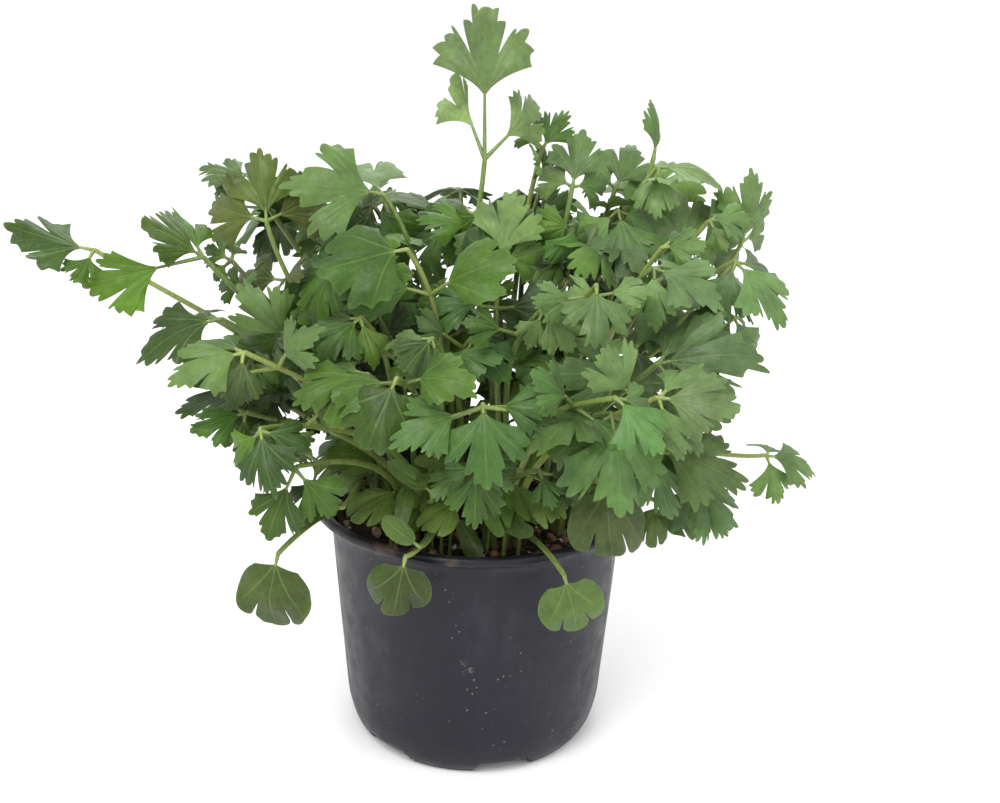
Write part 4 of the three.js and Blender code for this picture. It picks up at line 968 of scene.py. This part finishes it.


# ---- the plant -------------------------------------------------------------------------------------------
# Leaf colours, as seen in the photograph: (red, green, blue) of the blade in scene light, so light and shade
# are painted into them: dark is painted shade, bright, olive and pale are painted backlight, and pale and
# sheen carry a painted sheen.
GREENS = {
    "dark": (0.036, 0.090, 0.010),
    "mid": (0.053, 0.122, 0.010),
    "bright": (0.090, 0.185, 0.014),
    "sheen": (0.108, 0.190, 0.048),
    "blue": (0.056, 0.136, 0.024),
    "olive": (0.105, 0.142, 0.024),
    "pale": (0.170, 0.250, 0.085),
    "young": (0.090, 0.152, 0.026),
}
FROND_GREENS = {
    "frond_top": "pale", "frond_olive": "olive", "frond_left_second": "bright", "frond_far_left": "mid",
    "frond_upper_left": "sheen", "frond_round": "mid", "frond_bright": "bright", "frond_centre": "blue",
    "frond_face": "sheen", "frond_left_b": "sheen", "frond_left_c": "dark", "frond_left_a": "mid",
    "frond_big_right": "dark", "frond_right_pale": "sheen", "frond_pale_left": "sheen",
    "frond_pale_right": "sheen", "frond_right_y": "sheen", "frond_round_front": "mid",
    "frond_curly": "blue", "frond_right_reach": "bright", "frond_right_top": "sheen",
}
STEM_GREENS = ((0.135, 0.190, 0.040), (0.095, 0.150, 0.035), (0.180, 0.225, 0.055))
ACROSS_LIGHT_TONE = ((-40, 10, 50, 95), (0.76, 0.92, 1.0, 1.2))  # painted light and shade: a blade's tone by its place across the plant, darker left, lighter right
HEIGHT_SHADE_TONE = ((120, 200), (0.80, 1.04))  # and painted shade by its height, darker low down
RIGHT_SHEEN_GREEN = (0.185, 0.265, 0.135)  # painted sheen: a paler, greyer green towards the plant's right
RIGHT_SHEEN_SHARE = ((15, 95), (0.0, 0.45))
ANY_GREEN = ("dark", "mid", "mid", "blue", "bright", "sheen")  # for fronds that have no colour of their own; in it dark is painted shade, bright painted backlight and sheen a painted sheen
TINTS, TINT_SHIFT = (0.74, 1.5), 0.08  # least and most tone of a leaflet, and how far each channel is off
# Vein colour, colour of the light that comes through, and how much of it.
GROWN_LEAF = ((0.21, 0.30, 0.08, 1), (2.0, 1.8, 0.7), 0.36)
YOUNG_LEAF = ((0.25, 0.34, 0.10, 1), (1.9, 1.7, 0.7), 0.40)

ROUND_FRONDS = ("frond_round", "frond_round_front")
BARE = ("frond_top", "frond_far_left", "frond_left_second", "frond_right_reach", "frond_upper_left")
LIFTED = {"frond_far_left": 0.38, "frond_left_second": 0.3}  # blades held up, as a share of their length
FROND_PAIRS = ((0.08, 0.26),)  # where pairs of lower leaflets stand on a petiole: shares of the way down
CROWN_PAIRS = ((0.1, 0.24), (0.3, 0.48), (0.5, 0.68))
POT_REACH = 66.0  # within it the tip of a lower leaflet has to stay well over the soil
PAIR_SIZES = (0.62, 0.95)  # of a lower leaflet, in lengths of the last one
LEAST_PAIR = 13.0
PAIR_STALKS = (5.0, 13.0)
PAIR_BENDS = (24, 46)
PAIR_DROP = 0.25  # how far its tip may hang, in lengths
OVER_SOIL = 14  # how far over the soil
BOX_MARGIN = 2  # how far within the CAD's box
# painted shade: the crowns' petioles, deep among the leaves, are darkened to this share of their green
CROWN_STEM_SHADE = 0.42
STEM_TAPER = 0.9
STEM_RIBS = 0.07
STEM_SIDES, STALK_SIDES, STALK_POINTS = 12, 8, 7
STALK_PAST = 0.4  # how far a leaflet's stalk goes on under its blade
FOOT_SWELL, FOOT_AT, FOOT_WIDE = 0.25, 0.97, 0.06
STALK_RADII = (0.85, 0.5)
VEIN_PALE = (0.16, 0.23, 0.08)
VEIN_PALE_SHARE = 0.4
SEEDLINGS = 34
SEEDLING_SPREAD = 62  # degrees round the front
SEEDLING_OUT = (22, 49)
SEEDLING_REACH = (3, 12)
SEEDLING_HEIGHT = (20, 40)
SEEDLING_LENGTH = (9, 16)
SEEDLING_BEND = 30.0
SEEDLING_RADII = (0.75, 0.45)
SEEDLING_OVALS = 0.25


def frond_look(frond, leaf, random):
    """How one leaflet differs: its kind, its colour, the depth of its cuts and the sizes of its folds."""
    young = frond.get("oval", False) or frond["name"].startswith("young")
    name = "young" if young else FROND_GREENS.get(frond["name"])
    if name is None:
        name = random.choice(ANY_GREEN)
    # the tint takes the painted light and shade of its palette colour
    tint = np.array(GREENS[name]) * random.uniform(*TINTS) * (1 + random.uniform(-TINT_SHIFT, TINT_SHIFT, 3))
    look = dict(KINDS["young" if young else "round" if frond["name"] in ROUND_FRONDS else "grown"],
                young=young, tint=tint)
    look["cut"] = random.uniform(*look["cut"])
    look["teeth"] = random.uniform(*look["teeth"])
    look.update((key, random.uniform(*span)) for key, span in RANGES.items())
    lift = LIFTED.get(frond["name"], 0) * (not leaf.get("lower"))
    look["nod"] += lift
    look["tilt"] += lift
    look["edge"] = edge_of(leaf, look, random)
    return look


def painted_light_by_place(tint, place):
    """A blade's tint at its place, with painted light and shade: darker to the left and low down, paler and
    greyer with a painted sheen to the right.
    """
    tint = tint * np.interp(place[0], *ACROSS_LIGHT_TONE) * np.interp(place[2], *HEIGHT_SHADE_TONE)
    share = np.interp(place[0], *RIGHT_SHEEN_SHARE)
    return tint * (1 - share) + np.array(RIGHT_SHEEN_GREEN) * share


def crown_fronds():
    """The fronds that follow a rule: layers of the middle crowns, then tiers of the crowns around them."""
    groups = []
    for crown in MIDDLE_CROWNS:
        out, forward, fall = LAYER_LEAF
        group = []
        for height, ahead, step in LAYERS[crown["lowest"]:]:
            joint = (crown["aside"] + step, -ahead, height)
            tip = (joint[0] + math.copysign(out, crown["aside"]), joint[1] + forward, height + fall)
            group.append(dict(joint=joint, tip=tip, face=LAYER_FACE))
        groups.append((crown["name"], group))
    for crown in ROUND_CROWNS:
        group = []
        for i, (reach, height, length, fall, turn) in enumerate(TIERS):
            if i == crown.get("skip"):
                continue
            lean = math.radians(crown["turn"] + turn)
            outward = np.array((math.cos(lean), DEPTH_SHARE * math.sin(lean)))
            joint = (*reach * outward, height)
            tip = (*(reach + length) * outward, height + length * fall)
            face = (0.5 * outward[0], 0.7 * outward[1] - 0.35, 0.7)
            group.append(dict(joint=joint, tip=tip, face=face))
        groups.append((crown["name"], group))
    for name, group in groups:
        for frond in group:
            frond.update(name=name, play=CROWN_PLAY, plain=True)
    return groups


def lower_pairs(frond, last, path, random):
    """Smaller leaflets that stand in pairs lower on the petiole, each on a stalk of its own. A crown's frond
    has more of them than a single one; none leave the CAD's box or reach into the soil or the pot."""
    made = []
    if frond.get("oval") or frond["name"].startswith("young") or frond["name"] in BARE:
        return made
    away = np.linspace(0, 1, len(path))
    for low, high in CROWN_PAIRS if frond.get("plain") else FROND_PAIRS:
        share = random.uniform(low, high)
        start = np.array([np.interp(share, away, path[:, axis]) for axis in range(3)])
        onward = unit(np.array([np.interp(share - 0.06, away, path[:, axis]) for axis in range(3)]) - start)
        outward = unit(np.array([start[0], start[1] - 25.0, 0.01]))
        aside = unit(np.cross(onward, outward + (0, 0, 0.2)))
        for hand in (1, -1):
            heading = unit(onward * random.uniform(0.1, 0.7) + aside * hand * random.uniform(0.7, 1.1)
                           + outward * random.uniform(0.0, 0.7))
            normal = np.array((0, -0.55, 0.75)) + outward * 0.3 + random.uniform(-0.35, 0.35, 3)
            normal = unit(normal - normal.dot(heading) * heading)
            length = max(last["length"] * random.uniform(*PAIR_SIZES), LEAST_PAIR)
            base = start + heading * random.uniform(*PAIR_STALKS)
            tip = base + heading * length - normal * length * PAIR_DROP
            over = math.hypot(*tip[:2]) < POT_REACH
            inside = all(cad_box[0][k] / MM + BOX_MARGIN < tip[k] < cad_box[1][k] / MM - BOX_MARGIN
                         for k in range(3))
            if inside and tip[2] > (SOIL_TOP + OVER_SOIL if over else SOIL_TOP):
                made.append(dict(last, start=start, base=base, along=heading, normal=normal, length=length,
                                 bend=random.uniform(*PAIR_BENDS), wide=1, inner=(1, 1), lower=True))
    return made


def grow(node, fronds, first, random, leaf_look, stem_look):
    """Blades and stems of a node's fronds, as two pieces that stand for the CAD node."""
    corners = corners_of(node)
    low = corners[np.abs(corners[:, 2] - (SOIL_TOP - HOLE_DEPTH + GAP)) < SAME_PLACE / 2]
    foot = np.array([*((low.min(0) + low.max(0)) / 2)[:2], SOIL_TOP])
    shared = len(fronds) > 1
    blades, stems = Mesh(), Mesh()
    for i, frond in enumerate(fronds):
        pose, leaflets = grown_as(frond, first + i, corners)
        tint = np.array(STEM_GREENS[random.integers(3)]) * random.uniform(0.85, 1.15)
        # painted shade darkens the crowns' petioles
        tint = tint * (CROWN_STEM_SHADE if frond.get("plain") else 1)

        def add_tube(path, radii, sides, ribs=0.0, share=None):
            points, faces, along = tube(path, radii, sides, ribs)
            along = along if share is None else np.full(len(points), share)
            stems.add(points, faces, tint, share=along)

        path = stem_path(frond, pose, foot, shared)
        away = np.linspace(0, 1, len(path))
        thin = STEM_RADIUS_JOINT * STEM_TAPER
        radii = thin + (STEM_RADIUS_FOOT - thin) * away
        swell = FOOT_SWELL * np.exp(-((away - FOOT_AT) / FOOT_WIDE) ** 2)
        add_tube(path, radii + swell, STEM_SIDES, STEM_RIBS)
        for leaf in leaflets + lower_pairs(frond, leaflets[0], path, random):
            look = frond_look(frond, leaf, random)
            # painted light and shade from the blade's place in the plant
            look["tint"] = painted_light_by_place(look["tint"], leaf["base"])
            points, faces, values = leaflet_skin(leaf, look, *(COARSER if leaf.get("lower") else ()))
            blades.add(points, faces, **values)
            bridge = np.linspace(leaf["start"], leaf["base"] + leaf["along"] * STALK_PAST, STALK_POINTS)
            add_tube(bridge, np.linspace(*STALK_RADII, STALK_POINTS), STALK_SIDES, share=0.0)
            pale = look["tint"] * (1 - VEIN_PALE_SHARE) + np.array(VEIN_PALE) * VEIN_PALE_SHARE
            for points, faces, along in vein_tubes(leaf, look):
                stems.add(points, faces, pale, share=np.zeros(len(points)))
    young = fronds[0]["name"].startswith("young")
    for kind, made, material in (("blades", blades, leaf_look["young" if young else "grown"]),
                                 ("stems", stems, stem_look)):
        piece = made.build(f"{node}_{kind}", material)
        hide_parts(node)


def make_seedlings(leaf_look, stem_look, random):
    """Small young leaves between the petioles: each a bent stalk from the soil that carries one leaflet,
    placed by a seeded rule, more of them in front. A stalk is a quadratic Bezier."""
    blades, stems = Mesh(), Mesh()
    for _ in range(SEEDLINGS):
        turn = math.radians(-90 + random.normal() * SEEDLING_SPREAD)
        out = random.uniform(*SEEDLING_OUT)
        outward = np.array((math.cos(turn), math.sin(turn), 0.0))
        foot = outward * out + (0, 0, SOIL_TOP - 5)
        joint = foot + outward * random.uniform(*SEEDLING_REACH) + (0, 0, random.uniform(*SEEDLING_HEIGHT))
        joint[:2] += random.uniform(-5, 5, 2)
        t = np.linspace(0, 1, 12)[:, None]
        above = foot + (0, 0, (joint[2] - foot[2]) * 0.75)
        path = (1 - t) ** 2 * foot + 2 * t * (1 - t) * above + t**2 * joint
        heading = unit(outward + (0, 0, random.uniform(-0.2, 0.5)) + random.uniform(-0.6, 0.6, 3) * (1, 1, 0))
        normal = np.array((0, -0.6, 0.8)) + random.uniform(-0.3, 0.3, 3)
        normal = unit(normal - normal.dot(heading) * heading)
        length = random.uniform(*SEEDLING_LENGTH)
        leaf = dict(start=joint, base=joint + heading * 1.5, along=heading, normal=normal, length=length,
                    wide=1, bend=SEEDLING_BEND, seed=random.uniform(0, 9), inner=(1, 1),
                    oval=random.uniform() < SEEDLING_OVALS, plain=True)
        look = frond_look(dict(name="young_seedling"), leaf, random)
        points, faces, values = leaflet_skin(leaf, look, *SMALLEST)
        blades.add(points, faces, **values)
        path = np.vstack([path, joint + heading * 2])
        points, faces, along = tube(path, np.linspace(*SEEDLING_RADII, len(path)), STALK_SIDES)
        tint = np.array(STEM_GREENS[random.integers(3)]) * random.uniform(0.6, 1.0)
        stems.add(points, faces, tint, share=1 - along)
    for kind, made, material in (("blades", blades, leaf_look["young"]), ("stems", stems, stem_look)):
        made.build(f"seedling_{kind}", material)


def grow_plant(mottle):
    """Every node of the plant, in the CAD's order, which gives each frond its index."""
    random = np.random.default_rng(RANDOM_SEED)
    veins = vein_group()
    leaf_look = {
        "grown": leaf_material("parsley_leaf", veins, mottle, *GROWN_LEAF),
        "young": leaf_material("young_leaf", veins, mottle, *YOUNG_LEAF),
    }
    stem_look = stem_material(mottle)
    groups = [(frond["name"], [frond]) for frond in YOUNG]
    joined = {}
    for frond in FRONDS:
        joined.setdefault(frond.get("node", frond["name"]), []).append(frond)
    groups += [*joined.items(), *crown_fronds()]
    first = 0
    for node, fronds in groups:
        grow(node, fronds, first, random, leaf_look, stem_look)
        first += len(fronds)
    make_seedlings(leaf_look, stem_look, random)


# ---- soil ------------------------------------------------------------------------------------------------
SOIL_COLOUR = (0.030, 0.021, 0.015)
CRUMBS = 900
PERLITE = 60
STONES = 26
FIBRES = 150
CHIPS = 90
SOIL_WAVES = 0.78  # height of the CAD's waves
SOIL_OCTAVES = ((9.0, 0.8), (4.0, 0.7), (1.9, 0.55), (0.9, 0.3))  # cell and height
SOIL_EDGE, SOIL_EDGE_WIDE = 50, 5  # where the face sinks beside the wall
CRUMB_SIZES = dict(a=(0.5, 0.8, 1.2, 1.7), p=(0.4, 0.3, 0.2, 0.1))
CRUMB_TONES = dict(a=(0.8, 1.3, 2.2, 4.0), p=(0.4, 0.35, 0.17, 0.08))
# Kinds of bits: how many, least and most size, colour.
BITS = ((PERLITE, (0.5, 1.0), (0.62, 0.60, 0.55)), (STONES, (1.3, 2.7), (0.40, 0.31, 0.21)),
        (CHIPS, (0.8, 2.3), (0.20, 0.105, 0.06)))
FIBRE_BROWN = (0.19, 0.115, 0.055)
FIBRE_LENGTHS, FIBRE_RADII, FIBRE_SIDES = (4, 13), (0.14, 0.32), 6
FIBRE_END = 54  # how far out a fibre may go
LUMP_ROWS, LUMP_COLUMNS = 7, 10
SOIL_RINGS, SOIL_COLUMNS = 70, 240
LATTICE = 64  # how many values smooth noise has along a side before it repeats
BITS_REACH, FIBRES_REACH = 53.0, 50.0  # how far out bits lie, and fibres start


def value_noise(x, y, cell, random):
    """Smooth noise on a plane: random values on a square lattice, blended by a cubic within each cell."""
    table = random.uniform(-1, 1, (LATTICE, LATTICE))
    u, v = x / cell + 200.0, y / cell + 200.0
    column, row = np.floor(u).astype(int), np.floor(v).astype(int)
    a, b = u - column, v - row
    a, b = a * a * (3 - 2 * a), b * b * (3 - 2 * b)

    def pick(i, j):
        return table[(row + j) % LATTICE, (column + i) % LATTICE]

    low = pick(0, 0) * (1 - a) + pick(1, 0) * a
    high = pick(0, 1) * (1 - a) + pick(1, 1) * a
    return low * (1 - b) + high * b


def soil_height(x, y):
    """Relief of the soil's face: the CAD's waves and four octaves of smooth noise, lower beside the wall."""
    random = np.random.default_rng(RANDOM_SEED + 1)
    waves = np.sin(0.31 * x + 1.3) * np.cos(0.27 * y - 0.4) + 0.6 * np.sin(0.63 * y + 0.5 * x)
    relief = SOIL_WAVES * waves
    for cell, size in SOIL_OCTAVES:
        relief = relief + size * value_noise(x, y, cell, random)
    edge = np.clip((np.hypot(x, y) - SOIL_EDGE) / SOIL_EDGE_WIDE, 0, 1)
    return SOIL_TOP - 0.3 + relief * (1 - 0.6 * edge) - 0.8 * edge


def lump(random, size, flat):
    """A crumb: an ellipsoid on a grid of latitude and longitude, its radius changed by three random waves."""
    polar = np.linspace(0, math.pi, LUMP_ROWS)[-2:0:-1, None]
    turn = np.arange(LUMP_COLUMNS)[None] * 2 * math.pi / LUMP_COLUMNS
    wave = 1 + sum(random.uniform(0.05, 0.2)
                   * np.sin(k * turn + random.uniform(0, 6) + polar * random.uniform(1, 3))
                   for k in (1, 2, 3))
    stretch = size * random.uniform(0.7, 1.3, 3) * (1, 1, flat)
    body = np.stack([wave * np.sin(polar) * np.cos(turn), wave * np.sin(polar) * np.sin(turn),
                     np.cos(polar) * wave], -1).reshape(-1, 3)
    points = np.vstack([body, (0, 0, -1), (0, 0, 1)]) * stretch
    spin = random.uniform(0, 6.28)
    tilt = random.uniform(-0.6, 0.6)
    around = np.array(((math.cos(spin), -math.sin(spin), 0), (math.sin(spin), math.cos(spin), 0), (0, 0, 1)))
    over = np.array(((1, 0, 0), (0, math.cos(tilt), -math.sin(tilt)), (0, math.sin(tilt), math.cos(tilt))))
    return points @ over.T @ around.T, closed_faces(LUMP_ROWS - 2, LUMP_COLUMNS)


def make_soil(mottle):
    """The plug of soil with a crumbly face, and the crumbs, perlite, stones, chips and fibres on it."""
    random = np.random.default_rng(RANDOM_SEED + 2)
    lowest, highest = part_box("soil")
    radius = highest.x / MM
    turn = np.arange(SOIL_COLUMNS)[None] * 2 * math.pi / SOIL_COLUMNS
    away = np.linspace(1, 0.002, SOIL_RINGS)[:, None] ** 0.9 * radius
    x, y = away * np.cos(turn), away * np.sin(turn)
    face = np.stack([x, y, soil_height(x, y)], -1)
    walls = [np.stack([r * np.cos(turn[0]), r * np.sin(turn[0]), np.full(SOIL_COLUMNS, z)], -1)
             for r, z in ((42.0, lowest.z / MM), (48.8, 15.0), (radius - 0.6, 86.0))]
    points = np.concatenate([np.array(walls), face]).reshape(-1, 3)
    ends = np.array(((0, 0, lowest.z / MM), (0, 0, face[-1, :, 2].mean())))
    soil = Mesh()
    soil.add(np.vstack([points, ends]), closed_faces(len(walls) + SOIL_RINGS, SOIL_COLUMNS), SOIL_COLOUR)

    def scattered(reach=BITS_REACH):
        away, turn = reach * math.sqrt(random.uniform()), random.uniform(0, 2 * math.pi)
        x, y = away * math.cos(turn), away * math.sin(turn)
        return np.array([x, y, float(soil_height(np.array(x), np.array(y)))])

    for _ in range(CRUMBS):
        size = random.choice(**CRUMB_SIZES) * random.uniform(0.7, 1.2)
        points, faces = lump(random, size, 0.7)
        colour = np.array(SOIL_COLOUR) * random.choice(**CRUMB_TONES)
        soil.add(points + scattered() + (0, 0, size * 0.15), faces, colour)
    piece = soil.build("potting_soil", soil_material(mottle))
    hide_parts("soil")

    bits = Mesh()
    for count, sizes, colour in BITS:
        for _ in range(count):
            size = random.uniform(*sizes)
            points, faces = lump(random, size, 0.75)
            shade = np.array(colour) * random.uniform(0.75, 1.15)
            bits.add(points + scattered() + (0, 0, size * 0.4), faces, shade)
    piece = bits.build("soil_grit", peat_bits(mottle))

    fibres = Mesh()
    for _ in range(FIBRES):
        start = scattered(FIBRES_REACH)
        turn, bend = random.uniform(0, 6.28), random.uniform(-0.12, 0.12)
        steps = np.linspace(0, random.uniform(*FIBRE_LENGTHS), 10)
        x = start[0] + steps * np.cos(turn + bend * steps)
        y = start[1] + steps * np.sin(turn + bend * steps)
        path = np.stack([x, y, soil_height(x, y) + 0.35 + 0.5 * np.sin(steps * 0.7)], -1)
        path = path[np.hypot(path[:, 0], path[:, 1]) < FIBRE_END]
        if len(path) < 4:
            continue
        points, faces, _ = tube(path, np.full(len(path), random.uniform(*FIBRE_RADII)), FIBRE_SIDES)
        fibres.add(points, faces, np.array(FIBRE_BROWN) * random.uniform(0.5, 1.4))
    piece = fibres.build("bark_fibres", peat_bits(mottle))


# ---- pot -------------------------------------------------------------------------------------------------
# The wall's section as (distance from the axis, height), from the middle of the underside round to the floor.
POT_PROFILE = ((0.4, 0.0), (20, 0.0), (40, 0.0), (43.5, 0.0), (45.2, 0.15), (46, 0.7), (46.8, 1.7),
               (47.7, 2.8), (48.6, 4.2), (49.5, 6.2), (50.2, 8.4), (50.9, 11.2), (51.4, 13.6), (51.75, 16),
               (52.3, 23), (53.4, 37), (54.6, 52), (55.8, 68), (56.9, 83), (57.4, 89), (57.75, 91),
               (58.3, 92.3), (59.2, 93.6), (60.4, 94.7), (61.8, 95.6), (63.2, 96.1), (64.2, 96.5),
               (64.75, 97.1), (65, 98), (64.95, 98.9), (64.6, 99.6), (63.9, 99.98), (63.0, 100), (61.8, 99.7),
               (60.8, 99.0), (59.7, 97.7), (58.6, 95.9), (57.5, 93.9), (56.5, 91.9), (55.9, 89.6), (55.5, 86),
               (53.0, 55), (50.6, 25), (50, 15), (48.8, 8.5), (46.6, 4.2), (44.4, 2.2), (42.6, 1.65),
               (20, 1.6), (0.4, 1.6))
POT_FLOOR = 1.6
INNER_POINTS = 12  # how many points at the profile's end are inside the pot, over the notches
POT_COLUMNS = 240
NOTCHES = 6
NOTCH_HALF = 10.8
NOTCH_HEIGHT = 5.4
NOTCH_START = 38.0
NOTCH_EDGE = 3  # width of the step at a notch's side
NOTCH_WALL = 1.4
NOTCH_TOP, NOTCH_END = 7, 48  # the lift on the inside is at most so high, and stops so far out
FOOT_TURN = -14.0


def make_pot(mottle):
    """The pot as a turned profile. Between the feet its underside is lifted: the lift over a notch falls from
    its height to nothing by a smooth step across the notch's edge."""
    profile = np.array(POT_PROFILE)
    turn = np.arange(POT_COLUMNS) * 2 * math.pi / POT_COLUMNS
    radius = np.repeat(profile[:, :1], POT_COLUMNS, 1)
    height = np.repeat(profile[:, 1:], POT_COLUMNS, 1)
    pitch = 2 * math.pi / NOTCHES
    first = math.radians(-90 + FOOT_TURN) + pitch / 2
    off = (turn - first + pitch / 2) % pitch - pitch / 2
    across = np.abs(off)[None] * radius
    step = np.clip((across - NOTCH_HALF + NOTCH_EDGE / 2) / NOTCH_EDGE, 0, 1)
    lift = NOTCH_HEIGHT * (1 - step**2 * (3 - 2 * step)) * np.clip((radius - NOTCH_START) / 2, 0, 1)
    outer = np.maximum(height, np.where(height < NOTCH_HEIGHT, lift, 0))
    inner = np.maximum(height, np.minimum(lift + NOTCH_WALL, NOTCH_TOP) * (radius < NOTCH_END))
    height = np.where(np.arange(len(profile))[:, None] < len(profile) - INNER_POINTS, outer, inner)
    points = np.stack([radius * np.cos(turn), radius * np.sin(turn), height], -1).reshape(-1, 3)
    pot = Mesh()
    pot.add(np.vstack([points, (0, 0, 0), (0, 0, POT_FLOOR)]), closed_faces(len(profile), POT_COLUMNS))
    piece = pot.build("nursery_pot", pot_material(mottle), sharp=50)
    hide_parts("pot")


# ---- studio ----------------------------------------------------------------------------------------------
BOWL_FLAT = 1.3
BOWL_RISE = 1.4
BOWL_STEPS, BOWL_TURNS = 60, 96
SURROUND = 1.1
# Lights as (name, place, height that they aim at, size, power), in metres and watts.
LIGHTS = (("key", (-0.35, -0.8, 1.15), 0.16, 0.7, 14.5), ("fill", (0.9, -0.8, 0.7), 0.14, 0.9, 5.0),
          ("back", (0.1, 1.0, 1.0), 0.2, 0.8, 6.0))


def add_light(name, place, aim, size, power):
    """A square area light that looks from its place at the axis at a height."""
    data = bpy.data.lights.new(name, "AREA")
    data.shape = "SQUARE"
    data.size = size
    data.energy = power
    lamp = put(name, data)
    gaze = np.array((0, 0, aim)) - np.array(place)
    lamp.location = place
    lamp.rotation_mode = "QUATERNION"
    lamp.rotation_quaternion = Vector(gaze).to_track_quat("-Z", "Y")


def make_studio():
    """A pale floor that curves up all round as a bowl, a white surround, soft light from above left, and the
    photograph's camera. The bowl is flat to one radius and rises from there as a quarter circle."""
    out = np.linspace(0, 1, BOWL_STEPS)
    bend = (out - 0.5) * math.pi
    away = np.where(out < 0.5, out * 2 * BOWL_FLAT, BOWL_FLAT + BOWL_RISE * np.sin(bend)) + MM
    height = np.where(out < 0.5, 0, BOWL_RISE * (1 - np.cos(bend)))
    turn = np.arange(BOWL_TURNS) * 2 * math.pi / BOWL_TURNS
    points = np.stack([away[:, None] * np.cos(turn), away[:, None] * np.sin(turn),
                       np.repeat(height[:, None], BOWL_TURNS, 1)], -1).reshape(-1, 3)
    mesh = bpy.data.meshes.new("floor")
    mesh.from_pydata(points.tolist(), [], grid_faces(BOWL_STEPS, BOWL_TURNS, wrap=True)[:, ::-1].tolist())
    mesh.polygons.foreach_set("use_smooth", np.ones(len(mesh.polygons), bool))
    material, tree, shader, place = new_material("pale_paper")
    shade = ranged(tree, noise(tree, place, 1.5, 2), *MIDDLE_VALUES, 0.84, 0.87)
    grey = add_node(tree, "ShaderNodeCombineColor", _0=shade, _1=shade, _2=shade).outputs[0]
    feed(tree, shader, Base_Color=grey, Roughness=0.95, Specular_IOR_Level=0.1)
    mesh.materials.append(material)
    floor = put("floor", mesh)
    world = bpy.data.worlds.new("surround")
    world.use_nodes = True
    back = world.node_tree.nodes["Background"]
    back.inputs["Color"].default_value = (1, 1, 1, 1)
    back.inputs["Strength"].default_value = SURROUND
    bpy.context.scene.world = world
    for light in LIGHTS:
        add_light(*light)
    data = bpy.data.cameras.new("camera")
    data.sensor_width = SENSOR
    data.lens = LENS
    data.clip_start, data.clip_end = 0.01, 20
    camera = put("camera", data)
    camera.matrix_world = (Matrix.Translation([c * MM for c in CAMERA_PLACE])
                           @ Matrix.Rotation(math.radians(90 - CAMERA_DOWN), 4, "X")
                           @ Matrix.Rotation(math.radians(CAMERA_ROLL), 4, "Z"))
    bpy.context.scene.camera = camera
    bpy.context.scene.view_settings.view_transform = "Standard"


clouds = mottle_group()
grow_plant(clouds)
make_soil(clouds)
make_pot(clouds)
make_studio()
